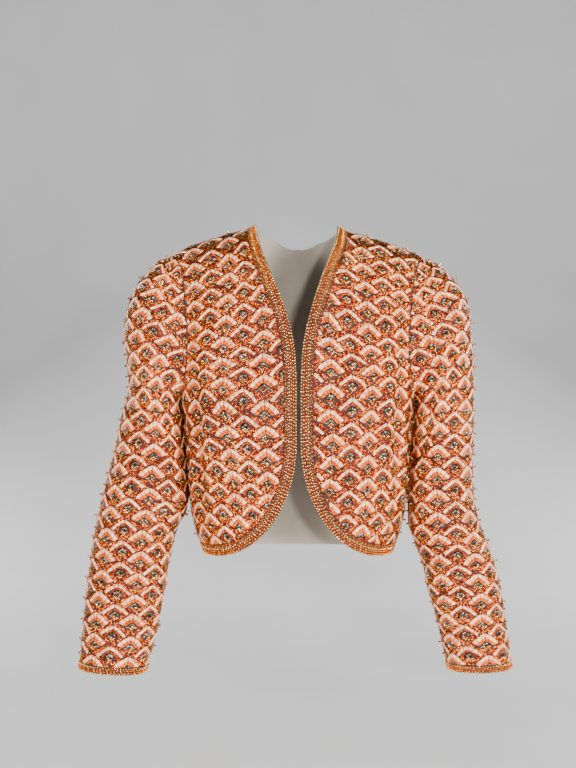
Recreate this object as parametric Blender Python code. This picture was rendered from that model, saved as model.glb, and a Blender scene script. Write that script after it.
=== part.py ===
"""Bolero jacket: an open, collarless, long-sleeved short jacket with beaded edging.

It keeps the form it has when worn: two fronts with rounded lower corners, a back, two set-in
sleeves with padded shoulders, and a braid of beads along the neck, front edges, hem and cuffs.
Metres, +Z up. The wearer faces -Y, and +X is the wearer's left. The origin is between the two
points where the shoulder seams meet the neckline, on the plane of the side seams.
"""

import math

import bpy
import numpy as np

# Driving sizes
WALL = 0.0022  # beaded cloth with its lining
SEAM_GAP = 0.0003
SLEEVE_SEAM_GAP = 0.0004
BRAID_GAP = 0.0004
ARMPIT_Z = -0.235
NECK_HALF_WIDTH = 0.060
BACK_NECK_DEPTH = 0.066  # how far the back neckline lies behind the shoulder seams
BOXINESS = 0.22  # how much flatter the chest and back are than an ellipse
SLEEVE_BOXINESS = 0.10
LEFT_SHOULDER_DROP = 0.004  # the left shoulder is carried a little lower

# The lower front corners are a quarter of an ellipse, from the front edge round to the hem
FRONT_GAP_HALF = 0.0022
CORNER_WIDTH = 0.112
CORNER_TOP_Z = -0.285

BRAID_WIDTH = 0.0155
CUFF_BRAID_WIDTH = 0.0105
SLEEVE_LENGTH = 0.56
BRAID_EDGE_HEIGHT = 0.0016
BRAID_MIDDLE_HEIGHT = 0.0026

# Grid counts
FRONT_ROWS, FRONT_ACROSS = 36, 14
BACK_ROWS, BACK_ACROSS = 22, 23
SLEEVE_ROUND, SLEEVE_ALONG = 24, 20

# Level is -1 at the hem, 0 at the armpit and +1 on the shoulder seam. z is only used below the armpit.
TORSO_COLUMNS = ("level", "z", "half_width", "front_depth", "back_depth")
TORSO = (
    (-1.00, -0.436, 0.1250, 0.102, 0.088),
    (-0.82, -0.400, 0.1385, 0.109, 0.091),
    (-0.62, -0.360, 0.1455, 0.117, 0.094),
    (-0.32, -0.300, 0.1500, 0.126, 0.099),
    (0.00, -0.235, 0.1560, 0.130, 0.104),
    (0.30, -0.150, 0.1680, 0.130, 0.105),
    (0.60, -0.070, 0.1780, 0.126, 0.103),
    (1.00, 0.000, 0.1900, 0.120, 0.100),
)
HEM_Z = TORSO[0][1]

SHOULDER_COLUMNS = ("x", "z")
SHOULDER_LINE = (
    (0.000, 0.040),
    (0.025, 0.032),
    (0.045, 0.012),
    (0.060, 0.0005),
    (0.085, -0.0065),
    (0.110, -0.0140),
    (0.140, -0.0235),
    (0.172, -0.0395),
    (0.200, -0.056),
)

# How far each neck edge lies from the middle, down the V, to where the two edges nearly meet
NECKLINE_COLUMNS = ("z", "right", "left")
NECKLINE = (
    (-0.000, 0.0560, 0.0530),
    (-0.022, 0.0520, 0.0490),
    (-0.044, 0.0450, 0.0405),
    (-0.070, 0.0340, 0.0300),
    (-0.095, 0.0240, 0.0215),
    (-0.120, 0.0150, 0.0140),
    (-0.145, 0.0082, 0.0080),
    (-0.172, 0.0040, 0.0040),
    (-0.205, 0.0022, 0.0022),
)

# The armhole seam: how far round the torso it lies, in degrees from the middle, at each level
ARMHOLE_COLUMNS = ("level", "front_turn", "back_turn")
ARMHOLE = (
    (0.00, 90.0, 90.0),
    (0.03, 81.0, 81.0),
    (0.09, 70.0, 71.0),
    (0.18, 63.0, 65.5),
    (0.32, 59.5, 62.5),
    (0.50, 58.5, 61.0),
    (0.75, 60.5, 62.0),
    (1.00, 64.9, 64.9),
)

# Rings down each sleeve, below its armhole seam, from the outer point of a ring to its inner one
RING_COLUMNS = ("outer_x", "outer_z", "inner_x", "inner_z", "front_depth", "back_depth", "y")
RIGHT_RINGS = (
    (0.1980, -0.0565, 0.1584, -0.2390, 0.0700, 0.0620, -0.004),
    (0.2145, -0.0755, 0.1580, -0.2440, 0.0710, 0.0630, -0.004),
    (0.2275, -0.1070, 0.1570, -0.2520, 0.0700, 0.0635, -0.004),
    (0.2330, -0.1450, 0.1554, -0.2640, 0.0680, 0.0635, -0.004),
    (0.2290, -0.1850, 0.1541, -0.2780, 0.0660, 0.0630, -0.003),
    (0.2275, -0.2170, 0.1528, -0.2920, 0.0640, 0.0620, -0.002),
    (0.2360, -0.2500, 0.1516, -0.3060, 0.0620, 0.0610, -0.002),
    (0.2450, -0.2940, 0.1493, -0.3260, 0.0605, 0.0600, -0.002),
    (0.2595, -0.3480, 0.1475, -0.3600, 0.0580, 0.0580, -0.003),
    (0.2690, -0.3880, 0.1615, -0.3980, 0.0565, 0.0560, -0.005),
    (0.2755, -0.4260, 0.1715, -0.4390, 0.0550, 0.0540, -0.008),
    (0.2815, -0.4750, 0.1795, -0.4860, 0.0520, 0.0510, -0.013),
    (0.2865, -0.5300, 0.1890, -0.5380, 0.0480, 0.0480, -0.019),
    (0.2905, -0.5870, 0.2030, -0.5925, 0.0440, 0.0440, -0.028),
)
LEFT_RINGS = (
    (0.1980, -0.0600, 0.1584, -0.2390, 0.0700, 0.0620, -0.004),
    (0.2140, -0.0765, 0.1580, -0.2440, 0.0710, 0.0630, -0.004),
    (0.2270, -0.1030, 0.1570, -0.2520, 0.0700, 0.0635, -0.004),
    (0.2320, -0.1400, 0.1554, -0.2640, 0.0680, 0.0635, -0.004),
    (0.2350, -0.1800, 0.1541, -0.2780, 0.0660, 0.0630, -0.003),
    (0.2357, -0.2150, 0.1528, -0.2920, 0.0640, 0.0620, -0.002),
    (0.2357, -0.2520, 0.1516, -0.3060, 0.0620, 0.0610, -0.002),
    (0.2350, -0.2960, 0.1502, -0.3240, 0.0605, 0.0600, -0.002),
    (0.2345, -0.3460, 0.1473, -0.3580, 0.0580, 0.0580, -0.004),
    (0.2400, -0.3860, 0.1496, -0.3960, 0.0565, 0.0560, -0.006),
    (0.2545, -0.4260, 0.1620, -0.4350, 0.0550, 0.0540, -0.009),
    (0.2680, -0.4730, 0.1735, -0.4810, 0.0520, 0.0510, -0.015),
    (0.2760, -0.5300, 0.1885, -0.5350, 0.0480, 0.0480, -0.021),
    (0.2830, -0.5860, 0.1995, -0.5880, 0.0440, 0.0440, -0.030),
)

# Folds of the cloth. turn is in degrees round the torso, lean in degrees a level, + is a ridge.
FOLD_COLUMNS = ("turn", "lean", "half_width", "height", "low", "high")
RIGHT_FRONT_FOLDS = (
    (50.0, -4.0, 5.0, 0.0040, -0.95, 0.45),
    (58.5, -5.0, 4.6, -0.0055, -0.90, 0.38),
    (67.5, -6.0, 4.4, 0.0036, -1.00, 0.16),
    (76.0, -3.0, 4.2, -0.0030, -0.80, 0.08),
)
LEFT_FRONT_FOLDS = (
    (42.0, -3.0, 5.0, -0.0042, -0.70, 0.30),
    (49.5, -4.0, 4.6, 0.0046, -0.85, 0.55),
    (58.0, -6.0, 4.8, -0.0050, -0.75, 0.42),
    (67.0, -5.0, 4.4, 0.0038, -1.00, 0.18),
    (76.5, -3.0, 4.2, -0.0032, -0.60, 0.06),
)
BACK_FOLDS = (
    (-68.0, 4.0, 5.0, -0.0042, -0.80, 0.12),
    (-57.0, 5.0, 5.4, 0.0045, -0.95, 0.40),
    (-46.0, 3.0, 5.6, -0.0038, -0.85, 0.30),
    (44.0, -4.0, 5.4, -0.0040, -0.75, 0.34),
    (55.0, -5.0, 5.0, 0.0045, -0.95, 0.44),
    (66.0, -4.0, 4.8, -0.0045, -0.85, 0.14),
)

# Folds of a sleeve. turn is degrees round the sleeve, 0 at its outer side and 90 at its front;
# slant turns the fold, in degrees of turn for the whole length; share runs from armhole to cuff.
SLEEVE_FOLD_COLUMNS = ("turn", "slant", "share", "half_turn", "half_share", "height")
RIGHT_SLEEVE_FOLDS = (
    (118.0, 120.0, 0.17, 15.0, 0.140, -0.0042),
    (96.0, 100.0, 0.20, 13.0, 0.150, 0.0036),
    (66.0, -60.0, 0.10, 14.0, 0.070, -0.0030),
    (150.0, -260.0, 0.49, 34.0, 0.030, -0.0040),
    (168.0, -180.0, 0.57, 36.0, 0.028, 0.0038),
    (146.0, -220.0, 0.65, 30.0, 0.026, -0.0030),
    (205.0, 160.0, 0.44, 30.0, 0.034, -0.0036),
    (240.0, -110.0, 0.20, 14.0, 0.140, -0.0040),
    (262.0, -90.0, 0.22, 13.0, 0.130, 0.0036),
)
LEFT_SLEEVE_FOLDS = (
    (122.0, 110.0, 0.22, 14.0, 0.170, -0.0046),
    (100.0, 90.0, 0.25, 12.0, 0.160, 0.0040),
    (72.0, -40.0, 0.12, 14.0, 0.080, -0.0032),
    (158.0, -200.0, 0.55, 32.0, 0.028, -0.0038),
    (140.0, -240.0, 0.63, 30.0, 0.026, 0.0034),
    (166.0, 200.0, 0.72, 28.0, 0.026, -0.0026),
    (208.0, 150.0, 0.48, 30.0, 0.032, -0.0036),
    (236.0, -120.0, 0.19, 15.0, 0.130, -0.0042),
    (258.0, -100.0, 0.24, 13.0, 0.120, 0.0036),
)

# Colours of the plain solids: linear red, green, blue, then roughness and metallic
FINISHES = {
    "beaded_cloth": ((0.72, 0.22, 0.10), 0.45, 0.0),
    "beaded_braid": ((0.62, 0.26, 0.06), 0.35, 0.6),
}

TURN_LEVEL_SIZE = np.array([0.15, 0.24])  # metres in a radian of turn and in one level, roughly

RIGHT, LEFT = -1, 1
FRONT, BACK = -1, 1


def column(table, names, name):
    """One named column of a table, as an array."""
    return np.array([row[names.index(name)] for row in table], float)


def smooth(at, xs, ys):
    """A curve through the points xs, ys that never overshoots them, read at `at`."""
    at = np.clip(np.asarray(at, float), xs[0], xs[-1])
    step = np.diff(xs)
    slope = np.diff(ys, axis=0) / step
    tangent = np.empty_like(ys)
    tangent[0], tangent[-1] = slope[0], slope[-1]
    for i in range(1, len(xs) - 1):
        same_way = slope[i - 1] * slope[i] > 0
        tangent[i] = 2 * slope[i - 1] * slope[i] / (slope[i - 1] + slope[i]) if same_way else 0
    i = np.clip(np.searchsorted(xs, at, side="right") - 1, 0, len(xs) - 2)
    t = (at - xs[i]) / step[i]
    return (
        ys[i] * (1 + 2 * t) * (1 - t) ** 2
        + tangent[i] * step[i] * t * (1 - t) ** 2
        + ys[i + 1] * t * t * (3 - 2 * t)
        + tangent[i + 1] * step[i] * t * t * (t - 1)
    )


def torso_column(level, name):
    """A size of the torso at a level."""
    return smooth(level, column(TORSO, TORSO_COLUMNS, "level"), column(TORSO, TORSO_COLUMNS, name))


def shoulder_z(x):
    """Height of the shoulder line above the origin, at x from the middle."""
    line = column(SHOULDER_LINE, SHOULDER_COLUMNS, "x")
    z = smooth(np.abs(x), line, column(SHOULDER_LINE, SHOULDER_COLUMNS, "z"))
    return z - LEFT_SHOULDER_DROP * np.clip(np.asarray(x) / NECK_HALF_WIDTH, 0, 1)


def torso_base(turn, level, face):
    """A point of the torso's outer form, without folds. turn is radians from the middle, + to +X."""
    turn, level = np.broadcast_arrays(np.asarray(turn, float), np.asarray(level, float))
    depth = torso_column(level, "front_depth" if face == FRONT else "back_depth")
    x = torso_column(level, "half_width") * np.sin(turn)
    quarter = np.clip(level, 0, 1) * math.pi / 2
    y = face * depth * np.cos(turn) * (1 + BOXINESS * np.sin(turn) ** 2) * np.cos(quarter)
    above = ARMPIT_Z + (shoulder_z(x) - ARMPIT_Z) * np.sin(quarter)
    z = np.where(level > 0, above, torso_column(np.minimum(level, 0), "z"))
    return np.stack([x, y, z], -1)


def surface_normal(point, a, b, outward):
    """The unit normal of the surface point(a, b), turned to the side that outward says."""
    nudge = 1e-4
    along_a = point(a + nudge, b) - point(a - nudge, b)
    along_b = point(a, b + nudge) - point(a, b - nudge)
    normal = np.cross(along_a, along_b)
    normal /= np.linalg.norm(normal, axis=-1, keepdims=True)
    return normal * outward


def fold_rise(turn, level, folds):
    """How far the folds push the cloth out, at a place on the torso."""
    rise = np.zeros(np.broadcast(turn, level).shape)
    for row in folds:
        fold = dict(zip(FOLD_COLUMNS, row))
        middle = (fold["low"] + fold["high"]) / 2
        half = (fold["high"] - fold["low"]) / 2
        line = np.radians(fold["turn"] + fold["lean"] * (level - middle))
        across = (turn - line) / np.radians(fold["half_width"])
        along = np.clip(np.abs(level - middle) / half, 0, 1)
        rise = rise + fold["height"] * np.exp(-(across**2)) * (1 - along**2) ** 2
    return rise


def torso_normal(turn, level, face):
    """The outward normal of the torso's form. It is measured a little below the shoulder seam."""
    inside = np.clip(level, -0.999, 0.9995)

    def base(t, v):
        return torso_base(t, v, face)

    return surface_normal(base, turn, inside, -face)


def torso_point(turn, level, face, folds=(), lift=0.0):
    """A point of the torso's cloth with its folds, lift metres out from the outer face."""
    normal = torso_normal(turn, level, face)
    rise = fold_rise(turn, level, folds) + lift
    return torso_base(turn, level, face) + normal * rise[..., None]


def level_at(x, z):
    """The level of the torso's form at a height, for a point x from the middle."""
    low_z = column(TORSO, TORSO_COLUMNS, "z")[:5]
    low_level = column(TORSO, TORSO_COLUMNS, "level")[:5]
    share = np.clip((z - ARMPIT_Z) / (shoulder_z(x) - ARMPIT_Z), 0, 1)
    above = np.arcsin(share) * 2 / math.pi
    return np.where(np.asarray(z) > ARMPIT_Z, above, smooth(z, low_z, low_level))


def turn_at(x, level):
    """How far round the torso a point x from the middle lies."""
    return np.arcsin(np.clip(x / torso_column(level, "half_width"), -1, 1))


def armhole_turn(level, face):
    """How far round the armhole seam lies at a level."""
    turns = column(ARMHOLE, ARMHOLE_COLUMNS, "front_turn" if face == FRONT else "back_turn")
    return np.radians(smooth(level, column(ARMHOLE, ARMHOLE_COLUMNS, "level"), turns))


def resample(path, count):
    """Points spaced evenly along a line of points."""
    reach = np.concatenate([[0], np.cumsum(np.linalg.norm(np.diff(path, axis=0), axis=1))])
    at = np.linspace(0, reach[-1], count)
    return np.stack([np.interp(at, reach, path[:, i]) for i in range(path.shape[1])], -1)


def spaced(line, count):
    """The same for a line of turn and level, with each weighed by its size in metres."""
    return resample(line * TURN_LEVEL_SIZE, count) / TURN_LEVEL_SIZE


def front_edge(word):
    """A front's free edge as turn and level, from the neck end of the shoulder seam to the side."""
    z = np.linspace(0, -0.205, 60)
    rising = NECKLINE[::-1]
    x = smooth(z, column(rising, NECKLINE_COLUMNS, "z"), column(rising, NECKLINE_COLUMNS, word))
    straight_z = np.linspace(-0.21, CORNER_TOP_Z, 20)
    angle = np.linspace(0, math.pi / 2, 60)[1:]
    corner_z = CORNER_TOP_Z + (HEM_Z - CORNER_TOP_Z) * np.sin(angle)
    corner_x = FRONT_GAP_HALF + CORNER_WIDTH * (1 - np.cos(angle))
    z = np.concatenate([z, straight_z, corner_z])
    x = np.concatenate([x, np.full(20, FRONT_GAP_HALF), corner_x])
    level = level_at(x, z)
    level[0] = 1.0
    turn = turn_at(x, level)
    hem_turn = np.linspace(turn[-1], math.pi / 2, 12)[1:]
    turn = np.concatenate([turn, hem_turn])
    level = np.concatenate([level, np.full(len(hem_turn), -1.0)])
    return np.stack([turn, level], -1)


def back_neckline():
    """The back neck edge as turn and level, from the middle to the shoulder seam."""
    angle = np.linspace(0, math.pi / 2, 60)
    x = (NECK_HALF_WIDTH - 0.004) * np.sin(angle)
    y = BACK_NECK_DEPTH * np.cos(angle)
    level = np.full(len(angle), 0.6)
    for _ in range(12):
        depth = torso_column(level, "back_depth")
        turn = turn_at(x, level)
        share = y / (depth * np.cos(turn) * (1 + BOXINESS * np.sin(turn) ** 2))
        level = np.arccos(np.clip(share, 0, 1)) * 2 / math.pi
    return np.stack([turn_at(x, level), level], -1)


def armhole_line(face, count):
    """The armhole seam as turn and level, from the shoulder tip to the armpit."""
    level = 1 - np.linspace(0, 1, 300)
    return spaced(np.stack([armhole_turn(level, face), level], -1), count)


def step_across(line, face, distance):
    """Moves a line of turn and level sideways by a distance on the torso, to the left of its way seen
    from outside the cloth."""
    turn, level = line[:, 0], np.clip(line[:, 1], -0.999, 0.999)
    nudge = 1e-4
    by_turn = (torso_base(turn + nudge, level, face) - torso_base(turn - nudge, level, face)) / (2 * nudge)
    by_level = (torso_base(turn, level + nudge, face) - torso_base(turn, level - nudge, face)) / (2 * nudge)
    way = np.gradient(line, axis=0)
    sideways = np.cross(by_turn * way[:, :1] + by_level * way[:, 1:], torso_normal(turn, level, face))
    sideways *= distance / np.linalg.norm(sideways, axis=1, keepdims=True)
    a, b, c = (np.sum(p * q, 1) for p, q in ((by_turn, by_turn), (by_turn, by_level), (by_level, by_level)))
    p, q = np.sum(by_turn * sideways, 1), np.sum(by_level * sideways, 1)
    step = np.stack([c * p - b * q, a * q - b * p], -1) / (a * c - b * b)[:, None]
    return line + step


def fill(first, last, start, end):
    """Fills a four-sided outline with rows that follow its sides. first and last are its rows."""
    across = np.linspace(0, 1, len(first))[None, :, None]
    down = np.linspace(0, 1, len(start))[:, None, None]
    ruled = (1 - down) * first + down * last + (1 - across) * start[:, None] + across * end[:, None]
    corners = (
        (1 - across) * (1 - down) * first[0]
        + across * (1 - down) * first[-1]
        + (1 - across) * down * last[0]
        + across * down * last[-1]
    )
    return ruled - corners


def relax(grid, times):
    """Evens out the inside of a grid, with its outline kept, so that no cell folds over."""
    for _ in range(times):
        around = grid[:-2, 1:-1] + grid[2:, 1:-1] + grid[1:-1, :-2] + grid[1:-1, 2:]
        grid[1:-1, 1:-1] = around / 4
    return grid


def front_grid(word, rows, across):
    """A front's points as turn and level. Column 0 is the free edge, and the last is the armhole.

    The rows go from the shoulder seam to the side seam, and columns 0 to 2 carry the braid."""
    side = math.pi / 2 - SEAM_GAP / 2 / torso_column(0.0, "front_depth") / (1 + BOXINESS)
    edge = spaced(front_edge(word), rows)
    lines = [edge]
    for share in (0.5, 1.0):
        line = step_across(edge, FRONT, -share * BRAID_WIDTH)
        line[0, 1], line[-1, 0] = 1.0, side
        lines.append(line)
    edge[-1, 0] = side
    armhole = armhole_line(FRONT, rows)
    armhole[-1, 0] = side
    first = np.linspace(lines[2][0], armhole[0], across - 2)
    last = np.linspace(lines[2][-1], armhole[-1], across - 2)
    inside = fill(first, last, lines[2], armhole)
    grid = np.concatenate([np.stack(lines[:2], 1), inside], axis=1)
    grid[..., 1] = seam_level(grid[..., 1])
    return grid


def back_grid(rows, across):
    """The back's points as turn and level, from the hem up, then the edge and middle of its neck braid.

    The main grid's top row runs along the shoulder seams and the lower line of the neck braid, which
    starts at the column that comes last."""
    side = math.pi / 2 - SEAM_GAP / 2 / torso_column(0.0, "back_depth") / (1 + BOXINESS)
    shoulder = max(3, round(across * 0.24))
    half = spaced(back_neckline(), (across - 2 * shoulder) // 2 + 1)
    neck = np.concatenate([half[:0:-1] * np.array([-1.0, 1.0]), half])
    hem = np.stack([np.linspace(-side, side, across), np.full(across, -1.0)], -1)
    necks, hems = [neck], [hem]
    for share in (0.5, 1.0):
        line = step_across(neck, BACK, -share * BRAID_WIDTH)
        line[[0, -1], 1] = 1.0
        necks.append(line)
        line = step_across(hem, BACK, share * BRAID_WIDTH)
        line[[0, -1], 0] = -side, side
        hems.append(line)
    seam_rows = round((rows - 2) * 0.42)
    armhole = armhole_line(BACK, rows - 2 - seam_rows)[::-1]
    armhole[0, 0] = side
    seam = np.linspace(hems[2][-1], armhole[0], seam_rows + 1)[:-1]
    left = np.concatenate([seam, armhole])
    mirror = np.array([-1.0, 1.0])
    seam_left = np.linspace(necks[2][-1], left[-1], shoulder + 1)[1:]
    top = np.concatenate([seam_left[::-1] * mirror, necks[2], seam_left])
    inside = relax(fill(hems[2], top, left * mirror, left), 3)
    grid = np.concatenate([np.stack(hems[:2]), inside])
    strip = np.stack([necks[1], necks[0]])
    grid[..., 1], strip[..., 1] = seam_level(grid[..., 1]), seam_level(strip[..., 1])
    return grid, strip, shoulder


def seam_level(level):
    """Keeps a panel's top edge half a seam's gap short of the shoulder seam."""
    return np.clip(level, -1, 1 - (SEAM_GAP / 2) / 0.12 * 2 / math.pi)


def armhole_ring(side, count, front_rows, back_rows):
    """The loop that a sleeve is sewn to, from the shoulder tip round the front, with its normals.

    It lies a seam's gap outside the torso's panels, and its normals are the torso's."""
    loops, normals = [], []
    back_armhole_rows = back_rows - 2 - round((back_rows - 2) * 0.42)
    for face, rows in ((FRONT, front_rows), (BACK, back_armhole_rows)):
        line = armhole_line(face, rows)
        turn, level = side * line[:, 0], line[:, 1]
        points, normal = torso_base(turn, level, face), torso_normal(turn, level, face)
        away = np.cross(normal, np.gradient(points, axis=0))
        away /= np.linalg.norm(away, axis=1, keepdims=True)
        away *= side * np.sign(away[0, 0])
        both = resample(np.concatenate([points + away * SLEEVE_SEAM_GAP, normal], 1), count // 2 + 1)
        loops.append(both[:, :3])
        normals.append(both[:, 3:])
    loop = np.concatenate([loops[0], loops[1][-2:0:-1]])
    normal = np.concatenate([normals[0], normals[1][-2:0:-1]])
    for k in (0, count // 2):
        loop[k] = (loops[0][k] + loops[1][k]) / 2
    return loop, normal / np.linalg.norm(normal, axis=1, keepdims=True)


def sleeve_rings(side, loop):
    """The sleeve's rings from armhole to cuff, each with its share of the way down."""
    count = len(loop)
    turn = np.arange(count) / count * 2 * math.pi
    rings = [loop]
    for row in RIGHT_RINGS if side == RIGHT else LEFT_RINGS:
        size = dict(zip(RING_COLUMNS, row))
        outer = np.array([side * size["outer_x"], size["y"], size["outer_z"]])
        inner = np.array([side * size["inner_x"], size["y"], size["inner_z"]])
        ring = (outer + inner) / 2 + (outer - inner) / 2 * np.cos(turn)[:, None]
        depth = np.where(np.sin(turn) > 0, size["front_depth"], size["back_depth"])
        ring[:, 1] -= depth * np.sin(turn) * (1 + SLEEVE_BOXINESS * np.cos(turn) ** 2)
        rings.append(ring)
    rings = np.array(rings)
    steps = np.linalg.norm(np.diff(rings, axis=0), axis=2).mean(axis=1)
    shares = np.concatenate([[0], np.cumsum(steps)])
    return shares / shares[-1], rings


def through_rings(shares, rings, at):
    """Smooth rows through the rings, at the shares asked for."""
    tangent = np.gradient(rings, shares, axis=0)
    i = np.clip(np.searchsorted(shares, at, side="right") - 1, 0, len(shares) - 2)
    step = (shares[i + 1] - shares[i])[:, None, None]
    t = ((at - shares[i]) / (shares[i + 1] - shares[i]))[:, None, None]
    return (
        rings[i] * (1 + 2 * t) * (1 - t) ** 2
        + tangent[i] * step * t * (1 - t) ** 2
        + rings[i + 1] * t * t * (3 - 2 * t)
        + tangent[i + 1] * step * t * t * (t - 1)
    )


def grid_normals(rows, outward_from):
    """Normals of a closed tube's rows, pointing away from its own middle line."""
    along = np.gradient(rows, axis=0)
    ringwise = np.roll(rows, -1, axis=1) - np.roll(rows, 1, axis=1)
    normal = np.cross(along, ringwise)
    normal /= np.linalg.norm(normal, axis=-1, keepdims=True)
    away = rows - outward_from
    flip = np.sign(np.median(np.sum(normal * away, axis=-1)))
    return normal * flip


def sleeve_fold_rise(turn, share, folds):
    """How far the sleeve's folds push the cloth out."""
    rise = np.zeros(np.broadcast(turn, share).shape)
    for row in folds:
        fold = dict(zip(SLEEVE_FOLD_COLUMNS, row))
        middle = fold["turn"] + fold["slant"] * (share - fold["share"])
        across = (np.degrees(turn) - middle + 180) % 360 - 180
        along = (share - fold["share"]) / fold["half_share"]
        bump = np.exp(-((across / fold["half_turn"]) ** 2) - along**2)
        rise = rise + fold["height"] * bump
    return rise


def sleeve_rows(side, count, at, front_rows, back_rows):
    """The sleeve's outer points with folds, and its outward normals, a row for each share."""
    loop, torso = armhole_ring(side, count, front_rows, back_rows)
    shares, rings = sleeve_rings(side, loop)
    rows = through_rings(shares, rings, at)
    normal = grid_normals(rows, rows.mean(axis=1, keepdims=True))
    turn = np.arange(count) / count * 2 * math.pi
    top_share = np.clip((np.cos(turn) - 0.2) / 0.6, 0, 1)[:, None] * (at[0] == 0)
    normal[0] = normal[0] * (1 - top_share) + torso * top_share
    normal[0] /= np.linalg.norm(normal[0], axis=-1, keepdims=True)
    folds = RIGHT_SLEEVE_FOLDS if side == RIGHT else LEFT_SLEEVE_FOLDS
    ease = np.clip(at / 0.05, 0, 1) * np.clip((1 - at) / 0.08, 0, 1)
    rise = sleeve_fold_rise(turn[None, :], at[:, None], folds) * ease[:, None]
    return rows + normal * rise[..., None], normal


def grid_triangles(index, closed_round=False):
    """Two triangles for each cell of a grid of vertex numbers. closed_round joins each row's ends."""
    if closed_round:
        index = np.concatenate([index, index[:, :1]], axis=1)
    a, b, c, d = index[:-1, :-1], index[:-1, 1:], index[1:, 1:], index[1:, :-1]
    return np.concatenate([np.stack([a, b, c], -1), np.stack([a, c, d], -1)]).reshape(-1, 3)


def add_wall(name, outer, inner, triangles, finish):
    """A closed wall of cloth between an outer and an inner surface with the same triangles."""
    count = len(outer)
    edges = np.concatenate([triangles[:, [0, 1]], triangles[:, [1, 2]], triangles[:, [2, 0]]])
    used = {tuple(edge) for edge in edges.tolist()}
    rim = np.array([edge for edge in sorted(used) if edge[::-1] not in used])
    sides = np.stack([rim[:, 1], rim[:, 0], rim[:, 0] + count, rim[:, 1] + count], -1)
    faces = triangles.tolist() + (triangles[:, ::-1] + count).tolist() + sides.tolist()
    mesh = bpy.data.meshes.new(name)
    mesh.from_pydata(np.concatenate([outer, inner]).tolist(), [], faces)
    mesh.validate()
    piece = bpy.data.objects.new(name, mesh)
    bpy.context.scene.collection.objects.link(piece)
    mesh.materials.append(finish_material(finish, name))
    point_outwards(mesh)
    mesh.shade_smooth()
    mesh.set_sharp_from_angle(angle=math.radians(50))


def point_outwards(mesh):
    """Turns every face outwards if the closed mesh is inside out."""
    mesh.calc_loop_triangles()
    volume = 0.0
    for triangle in mesh.loop_triangles:
        a, b, c = (mesh.vertices[i].co for i in triangle.vertices)
        volume += a.dot(b.cross(c))
    if volume < 0:
        mesh.flip_normals()


def finish_material(finish, name):
    """A plain material of its own for each piece."""
    colour, roughness, metallic = FINISHES[finish]
    material = bpy.data.materials.new(name + "_finish")
    material.use_nodes = True
    shader = material.node_tree.nodes["Principled BSDF"]
    shader.inputs["Base Color"].default_value = (*colour, 1.0)
    shader.inputs["Roughness"].default_value = roughness
    shader.inputs["Metallic"].default_value = metallic
    return material


def add_panel(name, places, face, folds, triangles, strips):
    """A panel of the torso as a wall of cloth, with strips of braid on the points each strip names."""
    turn, level = places[:, 0], places[:, 1]
    normal = torso_normal(turn, level, face)
    outer = torso_point(turn, level, face, folds)
    add_wall(name, outer, outer - normal * WALL, triangles, "beaded_cloth")
    for strip_name, index in strips:
        add_braid(strip_name, outer[index], normal[index])


def add_braid(name, points, out, closed_round=False):
    """A domed strip of braid over three lines of a panel's points, moved out from it."""
    heights = np.array([BRAID_EDGE_HEIGHT, BRAID_MIDDLE_HEIGHT, BRAID_EDGE_HEIGHT])
    heights = heights[:, None, None] if len(points) == 3 else heights[None, :, None]
    inner = points + out * BRAID_GAP
    outer = inner + out * heights
    index = np.arange(points.shape[0] * points.shape[1]).reshape(points.shape[:2])
    triangles = grid_triangles(index, closed_round)
    add_wall(name, outer.reshape(-1, 3), inner.reshape(-1, 3), triangles, "beaded_braid")


def make_fronts():
    """The right and left fronts, each with its braid from the shoulder seam to the side seam."""
    for side, word, folds in ((RIGHT, "right", RIGHT_FRONT_FOLDS), (LEFT, "left", LEFT_FRONT_FOLDS)):
        grid = front_grid(word, FRONT_ROWS, FRONT_ACROSS)
        index = np.arange(FRONT_ROWS * FRONT_ACROSS).reshape(FRONT_ROWS, FRONT_ACROSS)
        places = grid.reshape(-1, 2) * np.array([side, 1.0])
        placed = [(side * row[0], side * row[1], *row[2:]) for row in folds]
        strips = [(f"front_braid_{word}", index[:, :3])]
        add_panel(f"front_{word}", places, FRONT, placed, grid_triangles(index), strips)


def make_back():
    """The back, with the braid of its neck and of its hem."""
    grid, strip, first = back_grid(BACK_ROWS, BACK_ACROSS)
    main = np.arange(grid.shape[0] * grid.shape[1]).reshape(grid.shape[:2])
    upper = main.size + np.arange(strip.shape[0] * strip.shape[1]).reshape(strip.shape[:2])
    neck = np.concatenate([main[-1:, first : first + strip.shape[1]], upper])
    places = np.concatenate([grid.reshape(-1, 2), strip.reshape(-1, 2)])
    triangles = np.concatenate([grid_triangles(main), grid_triangles(neck)])
    strips = [("hem_braid_back", main[:3]), ("neck_braid_back", neck)]
    add_panel("back", places, BACK, BACK_FOLDS, triangles, strips)


def make_sleeves():
    """Both sleeves as tubes of cloth, and the braid round each cuff."""
    braid_share = CUFF_BRAID_WIDTH / SLEEVE_LENGTH
    at = (1 - braid_share) * np.linspace(0, 1, SLEEVE_ALONG - 2) ** 1.15
    at = np.concatenate([at, [1 - braid_share / 2, 1.0]])
    index = np.arange(SLEEVE_ALONG * SLEEVE_ROUND).reshape(SLEEVE_ALONG, SLEEVE_ROUND)
    triangles = grid_triangles(index, closed_round=True)
    for side, word in ((RIGHT, "right"), (LEFT, "left")):
        rows, normal = sleeve_rows(side, SLEEVE_ROUND, at, FRONT_ROWS, BACK_ROWS)
        outer, out = rows.reshape(-1, 3), normal.reshape(-1, 3)
        add_wall(f"sleeve_{word}", outer, outer - out * WALL, triangles, "beaded_cloth")
        add_braid(f"cuff_braid_{word}", rows[-3:], normal[-3:], closed_round=True)


def main():
    """Builds the whole jacket."""
    for piece in list(bpy.data.objects):
        bpy.data.objects.remove(piece)
    make_fronts()
    make_back()
    make_sleeves()


main()
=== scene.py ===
"""Looks of the bolero jacket: lined silk panels, the scale pattern of sewn beads, the beaded braid,
and a plain studio. Metres, in the frame of the CAD model."""

import math

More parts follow.
